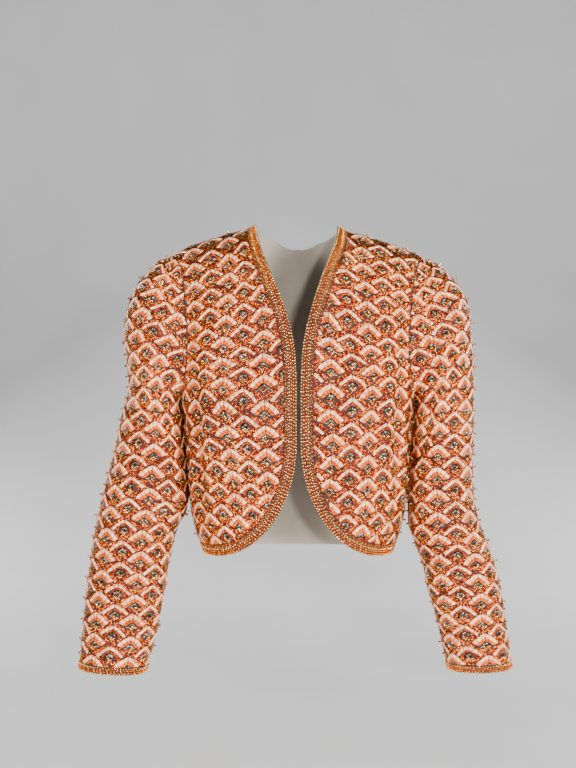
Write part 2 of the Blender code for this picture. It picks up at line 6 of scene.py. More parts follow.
import bpy
import numpy as np
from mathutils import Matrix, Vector


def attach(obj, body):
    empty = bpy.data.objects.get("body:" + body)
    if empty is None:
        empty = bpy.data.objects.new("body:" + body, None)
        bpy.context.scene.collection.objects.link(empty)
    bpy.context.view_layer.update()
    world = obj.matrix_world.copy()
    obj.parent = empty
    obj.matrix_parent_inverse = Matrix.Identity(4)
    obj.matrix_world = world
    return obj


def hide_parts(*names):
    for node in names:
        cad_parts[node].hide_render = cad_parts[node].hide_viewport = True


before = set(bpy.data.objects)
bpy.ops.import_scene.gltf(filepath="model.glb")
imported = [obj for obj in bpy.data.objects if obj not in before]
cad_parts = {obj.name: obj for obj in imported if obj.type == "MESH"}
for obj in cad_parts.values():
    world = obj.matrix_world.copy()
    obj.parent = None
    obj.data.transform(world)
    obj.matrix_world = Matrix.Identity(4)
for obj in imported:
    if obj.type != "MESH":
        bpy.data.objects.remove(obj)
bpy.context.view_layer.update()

# The form of the jacket, as in the CAD source

WALL = 0.0022  # beaded cloth with its lining
SEAM_GAP = 0.0003
SLEEVE_SEAM_GAP = 0.0004
ARMPIT_Z = -0.235
NECK_HALF_WIDTH = 0.060
BACK_NECK_INSET = 0.004  # how much narrower the back neckline is than the front's
BACK_NECK_DEPTH = 0.066  # how far the back neckline lies behind the shoulder seams
SIDE_SEAM_SHARE = 0.42  # the side seam's share of the back's rows
SHOULDER_SHARE = 0.24  # a shoulder seam's share of the back's columns
BOXINESS = 0.22  # how much flatter the chest and back are than an ellipse
SLEEVE_BOXINESS = 0.10
LEFT_SHOULDER_DROP = 0.004  # the left shoulder is carried a little lower

# The lower front corners are a quarter of an ellipse, from the front edge round to the hem
FRONT_GAP_HALF = 0.0022
CORNER_WIDTH = 0.112
CORNER_TOP_Z = -0.285
NECK_BOTTOM_Z = -0.205  # where the two neck edges have come together
SHOULDER_DEPTH = 0.12  # from the shoulder seam to the chest, roughly

BRAID_WIDTH = 0.0155
CUFF_BRAID_WIDTH = 0.0105
SLEEVE_LENGTH = 0.56

# Level is -1 at the hem, 0 at the armpit and +1 on the shoulder seam. z is only used below the armpit.
TORSO_COLUMNS = ("level", "z", "half_width", "front_depth", "back_depth")
TORSO = (
    (-1.00, -0.436, 0.1250, 0.102, 0.088),
    (-0.82, -0.400, 0.1385, 0.109, 0.091),
    (-0.62, -0.360, 0.1455, 0.117, 0.094),
    (-0.32, -0.300, 0.1500, 0.126, 0.099),
    (0.00, -0.235, 0.1560, 0.130, 0.104),
    (0.30, -0.150, 0.1680, 0.130, 0.105),
    (0.60, -0.070, 0.1780, 0.126, 0.103),
    (1.00, 0.000, 0.1900, 0.120, 0.100),
)
HEM_Z = TORSO[0][1]

SHOULDER_COLUMNS = ("x", "z")
SHOULDER_LINE = (
    (0.000, 0.040),
    (0.025, 0.032),
    (0.045, 0.012),
    (0.060, 0.0005),
    (0.085, -0.0065),
    (0.110, -0.0140),
    (0.140, -0.0235),
    (0.172, -0.0395),
    (0.200, -0.056),
)

# How far each neck edge lies from the middle, down the V, to where the two edges nearly meet
NECKLINE_COLUMNS = ("z", "right", "left")
NECKLINE = (
    (-0.000, 0.0560, 0.0530),
    (-0.022, 0.0520, 0.0490),
    (-0.044, 0.0450, 0.0405),
    (-0.070, 0.0340, 0.0300),
    (-0.095, 0.0240, 0.0215),
    (-0.120, 0.0150, 0.0140),
    (-0.145, 0.0082, 0.0080),
    (-0.172, 0.0040, 0.0040),
    (-0.205, 0.0022, 0.0022),
)

# The armhole seam: how far round the torso it lies, in degrees from the middle, at each level
ARMHOLE_COLUMNS = ("level", "front_turn", "back_turn")
ARMHOLE = (
    (0.00, 90.0, 90.0),
    (0.03, 81.0, 81.0),
    (0.09, 70.0, 71.0),
    (0.18, 63.0, 65.5),
    (0.32, 59.5, 62.5),
    (0.50, 58.5, 61.0),
    (0.75, 60.5, 62.0),
    (1.00, 64.9, 64.9),
)

# Rings down each sleeve, below its armhole seam, from the outer point of a ring to its inner one
RING_COLUMNS = ("outer_x", "outer_z", "inner_x", "inner_z", "front_depth", "back_depth", "y")
RIGHT_RINGS = (
    (0.1980, -0.0565, 0.1584, -0.2390, 0.0700, 0.0620, -0.004),
    (0.2145, -0.0755, 0.1580, -0.2440, 0.0710, 0.0630, -0.004),
    (0.2275, -0.1070, 0.1570, -0.2520, 0.0700, 0.0635, -0.004),
    (0.2330, -0.1450, 0.1554, -0.2640, 0.0680, 0.0635, -0.004),
    (0.2290, -0.1850, 0.1541, -0.2780, 0.0660, 0.0630, -0.003),
    (0.2275, -0.2170, 0.1528, -0.2920, 0.0640, 0.0620, -0.002),
    (0.2360, -0.2500, 0.1516, -0.3060, 0.0620, 0.0610, -0.002),
    (0.2450, -0.2940, 0.1493, -0.3260, 0.0605, 0.0600, -0.002),
    (0.2595, -0.3480, 0.1475, -0.3600, 0.0580, 0.0580, -0.003),
    (0.2690, -0.3880, 0.1615, -0.3980, 0.0565, 0.0560, -0.005),
    (0.2755, -0.4260, 0.1715, -0.4390, 0.0550, 0.0540, -0.008),
    (0.2815, -0.4750, 0.1795, -0.4860, 0.0520, 0.0510, -0.013),
    (0.2865, -0.5300, 0.1890, -0.5380, 0.0480, 0.0480, -0.019),
    (0.2905, -0.5870, 0.2030, -0.5925, 0.0440, 0.0440, -0.028),
)
LEFT_RINGS = (
    (0.1980, -0.0600, 0.1584, -0.2390, 0.0700, 0.0620, -0.004),
    (0.2140, -0.0765, 0.1580, -0.2440, 0.0710, 0.0630, -0.004),
    (0.2270, -0.1030, 0.1570, -0.2520, 0.0700, 0.0635, -0.004),
    (0.2320, -0.1400, 0.1554, -0.2640, 0.0680, 0.0635, -0.004),
    (0.2350, -0.1800, 0.1541, -0.2780, 0.0660, 0.0630, -0.003),
    (0.2357, -0.2150, 0.1528, -0.2920, 0.0640, 0.0620, -0.002),
    (0.2357, -0.2520, 0.1516, -0.3060, 0.0620, 0.0610, -0.002),
    (0.2350, -0.2960, 0.1502, -0.3240, 0.0605, 0.0600, -0.002),
    (0.2345, -0.3460, 0.1473, -0.3580, 0.0580, 0.0580, -0.004),
    (0.2400, -0.3860, 0.1496, -0.3960, 0.0565, 0.0560, -0.006),
    (0.2545, -0.4260, 0.1620, -0.4350, 0.0550, 0.0540, -0.009),
    (0.2680, -0.4730, 0.1735, -0.4810, 0.0520, 0.0510, -0.015),
    (0.2760, -0.5300, 0.1885, -0.5350, 0.0480, 0.0480, -0.021),
    (0.2830, -0.5860, 0.1995, -0.5880, 0.0440, 0.0440, -0.030),
)

# Folds of the cloth. turn is in degrees round the torso, lean in degrees a level, + is a ridge.
FOLD_COLUMNS = ("turn", "lean", "half_width", "height", "low", "high")
RIGHT_FRONT_FOLDS = (
    (50.0, -4.0, 5.0, 0.0040, -0.95, 0.45),
    (58.5, -5.0, 4.6, -0.0055, -0.90, 0.38),
    (67.5, -6.0, 4.4, 0.0036, -1.00, 0.16),
    (76.0, -3.0, 4.2, -0.0030, -0.80, 0.08),
)
LEFT_FRONT_FOLDS = (
    (42.0, -3.0, 5.0, -0.0042, -0.70, 0.30),
    (49.5, -4.0, 4.6, 0.0046, -0.85, 0.55),
    (58.0, -6.0, 4.8, -0.0050, -0.75, 0.42),
    (67.0, -5.0, 4.4, 0.0038, -1.00, 0.18),
    (76.5, -3.0, 4.2, -0.0032, -0.60, 0.06),
)
BACK_FOLDS = (
    (-68.0, 4.0, 5.0, -0.0042, -0.80, 0.12),
    (-57.0, 5.0, 5.4, 0.0045, -0.95, 0.40),
    (-46.0, 3.0, 5.6, -0.0038, -0.85, 0.30),
    (44.0, -4.0, 5.4, -0.0040, -0.75, 0.34),
    (55.0, -5.0, 5.0, 0.0045, -0.95, 0.44),
    (66.0, -4.0, 4.8, -0.0045, -0.85, 0.14),
)

# Folds of a sleeve. turn is degrees round the sleeve, 0 at its outer side and 90 at its front;
# slant turns the fold, in degrees of turn for the whole length; share runs from armhole to cuff.
SLEEVE_FOLD_COLUMNS = ("turn", "slant", "share", "half_turn", "half_share", "height")
RIGHT_SLEEVE_FOLDS = (
    (118.0, 120.0, 0.17, 15.0, 0.140, -0.0042),
    (96.0, 100.0, 0.20, 13.0, 0.150, 0.0036),
    (66.0, -60.0, 0.10, 14.0, 0.070, -0.0030),
    (150.0, -260.0, 0.49, 34.0, 0.030, -0.0040),
    (168.0, -180.0, 0.57, 36.0, 0.028, 0.0038),
    (146.0, -220.0, 0.65, 30.0, 0.026, -0.0030),
    (205.0, 160.0, 0.44, 30.0, 0.034, -0.0036),
    (240.0, -110.0, 0.20, 14.0, 0.140, -0.0040),
    (262.0, -90.0, 0.22, 13.0, 0.130, 0.0036),
)
LEFT_SLEEVE_FOLDS = (
    (122.0, 110.0, 0.22, 14.0, 0.170, -0.0046),
    (100.0, 90.0, 0.25, 12.0, 0.160, 0.0040),
    (72.0, -40.0, 0.12, 14.0, 0.080, -0.0032),
    (158.0, -200.0, 0.55, 32.0, 0.028, -0.0038),
    (140.0, -240.0, 0.63, 30.0, 0.026, 0.0034),
    (166.0, 200.0, 0.72, 28.0, 0.026, -0.0026),
    (208.0, 150.0, 0.48, 30.0, 0.032, -0.0036),
    (236.0, -120.0, 0.19, 15.0, 0.130, -0.0042),
    (258.0, -100.0, 0.24, 13.0, 0.120, 0.0036),
)

# A sleeve's folds fade out towards its armhole and its cuff, over these shares of its length
FOLD_FADE_TOP, FOLD_FADE_CUFF = 0.05, 0.08
CAP_START, CAP_FADE = 0.2, 0.6  # cosines of turn: over the shoulder, the sleeve's edge lies as the torso does

TURN_LEVEL_SIZE = np.array([0.15, 0.24])  # metres in a radian of turn and in one level, roughly

MIRROR = np.array([-1.0, 1.0])  # takes a turn and level to the other side
NUDGE = 1e-4  # the small step in turn and level that slopes are measured over
NORMAL_LEVELS, STEP_LEVELS = (-0.999, 0.9995), (-0.999, 0.999)  # the levels they are measured between

RIGHT, LEFT = -1, 1
FRONT, BACK = -1, 1


def column(table, names, name):
    """One named column of a table, as an array."""
    return np.array([row[names.index(name)] for row in table], float)


def named_rows(table, names):
    """The rows of a table, each with its values by name."""
    return [dict(zip(names, row)) for row in table]


def unit(vectors):
    """Vectors of length 1."""
    return vectors / np.linalg.norm(vectors, axis=-1, keepdims=True)


def hermite(t, step, low, high, leaving, arriving):
    """A smooth way from low to high over one step, with the slopes asked for at both ends."""
    return (
        low * (1 + 2 * t) * (1 - t) ** 2
        + leaving * step * t * (1 - t) ** 2
        + high * t * t * (3 - 2 * t)
        + arriving * step * t * t * (t - 1)
    )


def smooth(at, xs, ys):
    """A curve through the points xs, ys that never overshoots them, read at `at`."""
    at = np.clip(np.asarray(at, float), xs[0], xs[-1])
    step = np.diff(xs)
    slope = np.diff(ys, axis=0) / step
    tangent = np.empty_like(ys)
    tangent[0], tangent[-1] = slope[0], slope[-1]
    for i in range(1, len(xs) - 1):
        same_way = slope[i - 1] * slope[i] > 0
        tangent[i] = 2 * slope[i - 1] * slope[i] / (slope[i - 1] + slope[i]) if same_way else 0
    i = np.clip(np.searchsorted(xs, at, side="right") - 1, 0, len(xs) - 2)
    return hermite((at - xs[i]) / step[i], step[i], ys[i], ys[i + 1], tangent[i], tangent[i + 1])


def torso_column(level, name):
    """A size of the torso at a level."""
    return smooth(level, column(TORSO, TORSO_COLUMNS, "level"), column(TORSO, TORSO_COLUMNS, name))


def shoulder_z(x):
    """Height of the shoulder line above the origin, at x from the middle."""
    line = column(SHOULDER_LINE, SHOULDER_COLUMNS, "x")
    z = smooth(np.abs(x), line, column(SHOULDER_LINE, SHOULDER_COLUMNS, "z"))
    return z - LEFT_SHOULDER_DROP * np.clip(np.asarray(x) / NECK_HALF_WIDTH, 0, 1)


def torso_base(turn, level, face):
    """A point of the torso's outer form, without folds. turn is radians from the middle, + to +X."""
    turn, level = np.broadcast_arrays(np.asarray(turn, float), np.asarray(level, float))
    depth = torso_column(level, "front_depth" if face == FRONT else "back_depth")
    x = torso_column(level, "half_width") * np.sin(turn)
    quarter = np.clip(level, 0, 1) * math.pi / 2
    y = face * depth * np.cos(turn) * (1 + BOXINESS * np.sin(turn) ** 2) * np.cos(quarter)
    above = ARMPIT_Z + (shoulder_z(x) - ARMPIT_Z) * np.sin(quarter)
    z = np.where(level > 0, above, torso_column(np.minimum(level, 0), "z"))
    return np.stack([x, y, z], -1)


def surface_normal(point, a, b, outward):
    """The unit normal of the surface point(a, b), turned to the side that outward says."""
    along_a = point(a + NUDGE, b) - point(a - NUDGE, b)
    along_b = point(a, b + NUDGE) - point(a, b - NUDGE)
    return unit(np.cross(along_a, along_b)) * outward


def fold_rise(turn, level, folds):
    """How far the folds push the cloth out, at a place on the torso."""
    rise = np.zeros(np.broadcast(turn, level).shape)
    for fold in named_rows(folds, FOLD_COLUMNS):
        middle = (fold["low"] + fold["high"]) / 2
        half = (fold["high"] - fold["low"]) / 2
        line = np.radians(fold["turn"] + fold["lean"] * (level - middle))
        across = (turn - line) / np.radians(fold["half_width"])
        along = np.clip(np.abs(level - middle) / half, 0, 1)
        rise = rise + fold["height"] * np.exp(-(across**2)) * (1 - along**2) ** 2
    return rise


def torso_normal(turn, level, face):
    """The outward normal of the torso's form. It is measured a little below the shoulder seam."""
    inside = np.clip(level, *NORMAL_LEVELS)
    return surface_normal(lambda t, v: torso_base(t, v, face), turn, inside, -face)


def torso_point(turn, level, face, folds):
    """A point of the torso's cloth with its folds."""
    normal = torso_normal(turn, level, face)
    return torso_base(turn, level, face) + normal * fold_rise(turn, level, folds)[..., None]


def level_at(x, z):
    """The level of the torso's form at a height, for a point x from the middle."""
    low_z = column(TORSO, TORSO_COLUMNS, "z")[:5]
    low_level = column(TORSO, TORSO_COLUMNS, "level")[:5]
    share = np.clip((z - ARMPIT_Z) / (shoulder_z(x) - ARMPIT_Z), 0, 1)
    above = np.arcsin(share) * 2 / math.pi
    return np.where(np.asarray(z) > ARMPIT_Z, above, smooth(z, low_z, low_level))


def turn_at(x, level):
    """How far round the torso a point x from the middle lies."""
    return np.arcsin(np.clip(x / torso_column(level, "half_width"), -1, 1))


def armhole_turn(level, face):
    """How far round the armhole seam lies at a level."""
    turns = column(ARMHOLE, ARMHOLE_COLUMNS, "front_turn" if face == FRONT else "back_turn")
    return np.radians(smooth(level, column(ARMHOLE, ARMHOLE_COLUMNS, "level"), turns))


def reach_along(path):
    """How far along a line of points each point lies."""
    return np.concatenate([[0], np.cumsum(np.linalg.norm(np.diff(path, axis=0), axis=1))])


def read_line(at, reach, path):
    """The points at distances along a line of points."""
    return np.stack([np.interp(at, reach, values) for values in path.T], -1)


def resample(path, count):
    """Points spaced evenly along a line of points."""
    reach = reach_along(path)
    return read_line(np.linspace(0, reach[-1], count), reach, path)


def spaced(line, count):
    """The same for a line of turn and level, with each weighed by its size in metres."""
    return resample(line * TURN_LEVEL_SIZE, count) / TURN_LEVEL_SIZE


def front_edge(word):
    """A front's free edge as turn and level, from the neck end of the shoulder seam to the side."""
    z = np.linspace(0, NECK_BOTTOM_Z, 60)
    rising = NECKLINE[::-1]
    x = smooth(z, column(rising, NECKLINE_COLUMNS, "z"), column(rising, NECKLINE_COLUMNS, word))
    straight_z = np.linspace(NECK_BOTTOM_Z - 0.005, CORNER_TOP_Z, 20)
    angle = np.linspace(0, math.pi / 2, 60)[1:]
    corner_z = CORNER_TOP_Z + (HEM_Z - CORNER_TOP_Z) * np.sin(angle)
    corner_x = FRONT_GAP_HALF + CORNER_WIDTH * (1 - np.cos(angle))
    z = np.concatenate([z, straight_z, corner_z])
    x = np.concatenate([x, np.full(20, FRONT_GAP_HALF), corner_x])
    level = level_at(x, z)
    level[0] = 1.0
    turn = turn_at(x, level)
    hem_turn = np.linspace(turn[-1], math.pi / 2, 12)[1:]
    turn = np.concatenate([turn, hem_turn])
    level = np.concatenate([level, np.full(len(hem_turn), -1.0)])
    return np.stack([turn, level], -1)


def back_neckline(count):
    """The back neck edge as turn and level, from one shoulder seam to the other."""
    angle = np.linspace(0, math.pi / 2, 60)
    x = (NECK_HALF_WIDTH - BACK_NECK_INSET) * np.sin(angle)
    y = BACK_NECK_DEPTH * np.cos(angle)
    level = np.full(len(angle), 0.6)
    for _ in range(12):
        depth = torso_column(level, "back_depth")
        turn = turn_at(x, level)
        share = y / (depth * np.cos(turn) * (1 + BOXINESS * np.sin(turn) ** 2))
        level = np.arccos(np.clip(share, 0, 1)) * 2 / math.pi
    half = spaced(np.stack([turn_at(x, level), level], -1), count)
    return np.concatenate([half[:0:-1] * MIRROR, half])


def armhole_line(face, count):
    """The armhole seam as turn and level, from the shoulder tip to the armpit."""
    level = 1 - np.linspace(0, 1, 300)
    return spaced(np.stack([armhole_turn(level, face), level], -1), count)


def step_across(line, face, distance):
    """Moves a line of turn and level sideways by a distance on the torso, to the left of its way seen
    from outside the cloth."""
    turn, level = line[:, 0], np.clip(line[:, 1], *STEP_LEVELS)
    by_turn = torso_base(turn + NUDGE, level, face) - torso_base(turn - NUDGE, level, face)
    by_level = torso_base(turn, level + NUDGE, face) - torso_base(turn, level - NUDGE, face)
    by_turn, by_level = by_turn / (2 * NUDGE), by_level / (2 * NUDGE)
    way = np.gradient(line, axis=0)
    sideways = np.cross(by_turn * way[:, :1] + by_level * way[:, 1:], torso_normal(turn, level, face))
    sideways *= distance / np.linalg.norm(sideways, axis=1, keepdims=True)
    a, b, c = (np.sum(p * q, 1) for p, q in ((by_turn, by_turn), (by_turn, by_level), (by_level, by_level)))
    p, q = np.sum(by_turn * sideways, 1), np.sum(by_level * sideways, 1)
    step = np.stack([c * p - b * q, a * q - b * p], -1) / (a * c - b * b)[:, None]
    return line + step


def fill(first, last, start, end):
    """Fills a four-sided outline with rows that follow its sides. first and last are its rows."""
    across = np.linspace(0, 1, len(first))[None, :, None]
    down = np.linspace(0, 1, len(start))[:, None, None]
    ruled = (1 - down) * first + down * last + (1 - across) * start[:, None] + across * end[:, None]
    corners = (
        (1 - across) * (1 - down) * first[0]
        + across * (1 - down) * first[-1]
        + (1 - across) * down * last[0]
        + across * down * last[-1]
    )
    return ruled - corners


def relax(grid, times):
    """Evens out the inside of a grid, with its outline kept, so that no cell folds over."""
    for _ in range(times):
        around = grid[:-2, 1:-1] + grid[2:, 1:-1] + grid[1:-1, :-2] + grid[1:-1, 2:]
        grid[1:-1, 1:-1] = around / 4
    return grid


def front_grid(word, rows, across):
    """A front's points as turn and level. Column 0 is the free edge, and the last is the armhole.

    The rows go from the shoulder seam to the side seam, and columns 0 to 2 carry the braid."""
    side = math.pi / 2 - SEAM_GAP / 2 / torso_column(0.0, "front_depth") / (1 + BOXINESS)
    edge = spaced(front_edge(word), rows)
    lines = [edge]
    for share in (0.5, 1.0):
        line = step_across(edge, FRONT, -share * BRAID_WIDTH)
        line[0, 1], line[-1, 0] = 1.0, side
        lines.append(line)
    edge[-1, 0] = side
    armhole = armhole_line(FRONT, rows)
    armhole[-1, 0] = side
    first = np.linspace(lines[2][0], armhole[0], across - 2)
    last = np.linspace(lines[2][-1], armhole[-1], across - 2)
    inside = fill(first, last, lines[2], armhole)
    grid = np.concatenate([np.stack(lines[:2], 1), inside], axis=1)
    grid[..., 1] = seam_level(grid[..., 1])
    return grid


def back_grid(rows, across):
    """The back's points as turn and level, from the hem up, then the edge and middle of its neck braid.

    The main grid's top row runs along the shoulder seams and the lower line of the neck braid, which
    starts at the column that comes last."""
    side = math.pi / 2 - SEAM_GAP / 2 / torso_column(0.0, "back_depth") / (1 + BOXINESS)
    shoulder = round(across * SHOULDER_SHARE)
    neck = back_neckline((across - 2 * shoulder) // 2 + 1)
    hem = np.stack([np.linspace(-side, side, across), np.full(across, -1.0)], -1)
    necks, hems = [neck], [hem]
    for share in (0.5, 1.0):
        line = step_across(neck, BACK, -share * BRAID_WIDTH)
        line[[0, -1], 1] = 1.0
        necks.append(line)
        line = step_across(hem, BACK, share * BRAID_WIDTH)
        line[[0, -1], 0] = -side, side
        hems.append(line)
    seam_rows = round((rows - 2) * SIDE_SEAM_SHARE)
    armhole = armhole_line(BACK, rows - 2 - seam_rows)[::-1]
    armhole[0, 0] = side
    seam = np.linspace(hems[2][-1], armhole[0], seam_rows + 1)[:-1]
    left = np.concatenate([seam, armhole])
    seam_left = np.linspace(necks[2][-1], left[-1], shoulder + 1)[1:]
    top = np.concatenate([seam_left[::-1] * MIRROR, necks[2], seam_left])
    inside = relax(fill(hems[2], top, left * MIRROR, left), 3)
    grid = np.concatenate([np.stack(hems[:2]), inside])
    strip = np.stack([necks[1], necks[0]])
    grid[..., 1], strip[..., 1] = seam_level(grid[..., 1]), seam_level(strip[..., 1])
    return grid, strip, shoulder


def seam_level(level):
    """Keeps a panel's top edge half a seam's gap short of the shoulder seam."""
    return np.clip(level, -1, 1 - (SEAM_GAP / 2) / SHOULDER_DEPTH * 2 / math.pi)


def armhole_ring(side, count):
    """The loop that a sleeve is sewn to, from the shoulder tip round the front, with its normals.

    It lies a seam's gap outside the torso's panels, and its normals are the torso's."""
    loops, normals = [], []
    for face, rows in ((FRONT, FRONT_ARMHOLE_ROWS), (BACK, BACK_ARMHOLE_ROWS)):
        line = armhole_line(face, rows)
        turn, level = side * line[:, 0], line[:, 1]
        points, normal = torso_base(turn, level, face), torso_normal(turn, level, face)
        away = unit(np.cross(normal, np.gradient(points, axis=0)))
        away *= side * np.sign(away[0, 0])
        both = resample(np.concatenate([points + away * SLEEVE_SEAM_GAP, normal], 1), count // 2 + 1)
        loops.append(both[:, :3])
        normals.append(both[:, 3:])
    loop = np.concatenate([loops[0], loops[1][-2:0:-1]])
    normal = np.concatenate([normals[0], normals[1][-2:0:-1]])
    for k in (0, count // 2):
        loop[k] = (loops[0][k] + loops[1][k]) / 2
    return loop, unit(normal)


def sleeve_rings(side, loop):
    """The sleeve's rings from armhole to cuff, each with its share of the way down."""
    count = len(loop)
    turn = np.arange(count) / count * 2 * math.pi
    rings = [loop]
    for size in named_rows(RIGHT_RINGS if side == RIGHT else LEFT_RINGS, RING_COLUMNS):
        outer = np.array([side * size["outer_x"], size["y"], size["outer_z"]])
        inner = np.array([side * size["inner_x"], size["y"], size["inner_z"]])
        ring = (outer + inner) / 2 + (outer - inner) / 2 * np.cos(turn)[:, None]
        depth = np.where(np.sin(turn) > 0, size["front_depth"], size["back_depth"])
        ring[:, 1] -= depth * np.sin(turn) * (1 + SLEEVE_BOXINESS * np.cos(turn) ** 2)
        rings.append(ring)
    rings = np.array(rings)
    steps = np.linalg.norm(np.diff(rings, axis=0), axis=2).mean(axis=1)
    shares = np.concatenate([[0], np.cumsum(steps)])
    return shares / shares[-1], rings


def through_rings(shares, rings, at):
    """Smooth rows through the rings, at the shares asked for."""
    tangent = np.gradient(rings, shares, axis=0)
    i = np.clip(np.searchsorted(shares, at, side="right") - 1, 0, len(shares) - 2)
    step = (shares[i + 1] - shares[i])[:, None, None]
    t = (at - shares[i])[:, None, None] / step
    return hermite(t, step, rings[i], rings[i + 1], tangent[i], tangent[i + 1])


def grid_normals(rows):
    """Normals of a closed tube's rows, pointing away from its own middle line."""
    ringwise = np.roll(rows, -1, axis=1) - np.roll(rows, 1, axis=1)
    normal = unit(np.cross(np.gradient(rows, axis=0), ringwise))
    away = rows - rows.mean(axis=1, keepdims=True)
    return normal * np.sign(np.median(np.sum(normal * away, axis=-1)))


def sleeve_fold_rise(turn, share, folds):
    """How far the sleeve's folds push the cloth out."""
    rise = np.zeros(np.broadcast(turn, share).shape)
    for fold in named_rows(folds, SLEEVE_FOLD_COLUMNS):
        middle = fold["turn"] + fold["slant"] * (share - fold["share"])
        across = (np.degrees(turn) - middle + 180) % 360 - 180
        along = (share - fold["share"]) / fold["half_share"]
        bump = np.exp(-((across / fold["half_turn"]) ** 2) - along**2)
        rise = rise + fold["height"] * bump
    return rise


def sleeve_rows(side, count, at):
    """The sleeve's outer points with folds, and its outward normals, a row for each share."""
    loop, torso = armhole_ring(side, count)
    shares, rings = sleeve_rings(side, loop)
    rows = through_rings(shares, rings, at)
    normal = grid_normals(rows)
    turn = np.arange(count) / count * 2 * math.pi
    top_share = np.clip((np.cos(turn) - CAP_START) / CAP_FADE, 0, 1)[:, None] * (at[0] == 0)
    normal[0] = unit(normal[0] * (1 - top_share) + torso * top_share)
    folds = RIGHT_SLEEVE_FOLDS if side == RIGHT else LEFT_SLEEVE_FOLDS
    ease = np.clip(at / FOLD_FADE_TOP, 0, 1) * np.clip((1 - at) / FOLD_FADE_CUFF, 0, 1)
    rise = sleeve_fold_rise(turn[None, :], at[:, None], folds) * ease[:, None]
    return rows + normal * rise[..., None], normal


def grid_triangles(index, closed_round=False):
    """Two triangles for each cell of a grid of vertex numbers. closed_round joins each row's ends."""
    if closed_round:
        index = np.concatenate([index, index[:, :1]], axis=1)
    a, b, c, d = index[:-1, :-1], index[:-1, 1:], index[1:, 1:], index[1:, :-1]
    return np.concatenate([np.stack([a, b, c], -1), np.stack([a, c, d], -1)]).reshape(-1, 3)


# Cloth: the size each panel was cut to, and how its surface is read
BOTTOM_LEVEL, TOP_LEVEL = -0.9995, 0.9985  # the levels that a panel's surface is read between
SIDE_LIMIT = math.pi / 2 - 0.0015  # the furthest turn of a braid
SHARP_ANGLE = math.radians(50)
CLOTH_SINK = 0.0007  # how far the silk lies under the solid's face, to leave room for its beads
SHELL_ROWS = {"front": (80, 34), "back": (56, 63), "sleeve": (84, 60)}  # rows and columns of the silk
DENSE_SLEEVE_ROWS, DENSE_SLEEVE_ROUND = 281, 192  # the grid that a sleeve's beads are placed on
FRONT_ARMHOLE_ROWS, BACK_ARMHOLE_ROWS = 220, 126

# The scale pattern. A cell is a lozenge two columns wide, and each next column drops by half a cell.
CELL_HEIGHT = 0.0286
CELL_MIDDLE = 0.0086  # how far the middle of a cell lies above its fan
ARC_LEVEL = 0.3  # where distances round the torso are measured
MERIDIAN_TURN = math.radians(25)  # and where its heights are
OTHER_KIND = {"A": "B", "B": "A"}

# From one column to the next
SPACINGS = {
    "front_right": 0.0262,
    "front_left": 0.0276,
    "back": 0.0275,
    "sleeve_right": 0.0250,
    "sleeve_left": 0.0250,
}

# Where the pattern's columns lie on a front, in degrees from the middle, at levels of the torso.
# Columns 1 and 3 hold the A cells.
RIGHT_COLUMNS = (
    (-0.90, 15.2, 23.6, 32.5, 42.5),
    (-0.50, 15.4, 24.8, 34.2, 44.0),
    (-0.20, 15.8, 26.0, 36.5, 48.3),
    (0.00, 16.3, 26.8, 38.3, 49.6),
    (0.15, 16.4, 25.8, 37.0, 48.0),
    (0.40, 16.3, 24.4, 32.0, 41.5),
    (0.60, 16.0, 23.5, 30.3, 40.0),
    (1.00, 15.8, 23.0, 30.0, 39.0),
)
LEFT_COLUMNS = (
    (-0.90, 15.0, 25.0, 36.0, 46.5),
    (-0.60, 15.4, 25.7, 36.4, 47.0),
    (-0.30, 16.4, 26.0, 36.5, 47.2),
    (0.00, 15.0, 25.8, 37.2, 47.6),
    (0.12, 15.1, 25.0, 37.5, 46.6),
    (0.25, 13.4, 23.0, 33.0, 43.6),
    (0.45, 12.5, 20.8, 30.3, 39.8),
    (0.65, 12.0, 20.0, 27.7, 37.2),
    (1.00, 11.5, 19.0, 26.5, 35.5),
)
SIDE_COLUMN_TURN = 10.5  # the spacing beyond the listed columns
COLUMNS_BEFORE, COLUMNS_BEYOND = 9, 6  # how many columns go on before and beyond the listed ones

# The back's pattern keeps its real distances. A table gives the turn at levels and distances.
TABLE_LEVELS = np.linspace(-0.98, 0.99, 60)
TABLE_REACHES = np.linspace(-0.32, 0.32, 321)
TURN_COUNT, LEVEL_COUNT = 721, 801

# The level of each row of A fans
RIGHT_ROWS = (
    (-4, -1.093), (-3, -0.945), (-2, -0.797), (-1, -0.650), (0, -0.515), (1, -0.368), (2, -0.221),
    (3, -0.074), (3.5, 0.000), (4, 0.047), (5, 0.122), (6, 0.198), (7, 0.280), (8, 0.370),
    (9, 0.468), (10, 0.578), (11, 0.727), (12, 0.930), (13, 1.200), (14, 1.500),
)
LEFT_ROWS = (
    (-4, -1.158), (-3, -1.010), (-2, -0.860), (-1, -0.712), (0, -0.563), (1, -0.418), (2, -0.266),
    (3, -0.122), (3.5, -0.050), (4, 0.013), (5, 0.096), (6, 0.173), (7, 0.248), (8, 0.346),
    (9, 0.435), (10, 0.532), (11, 0.648), (12, 0.800), (13, 1.050), (14, 1.350),
)

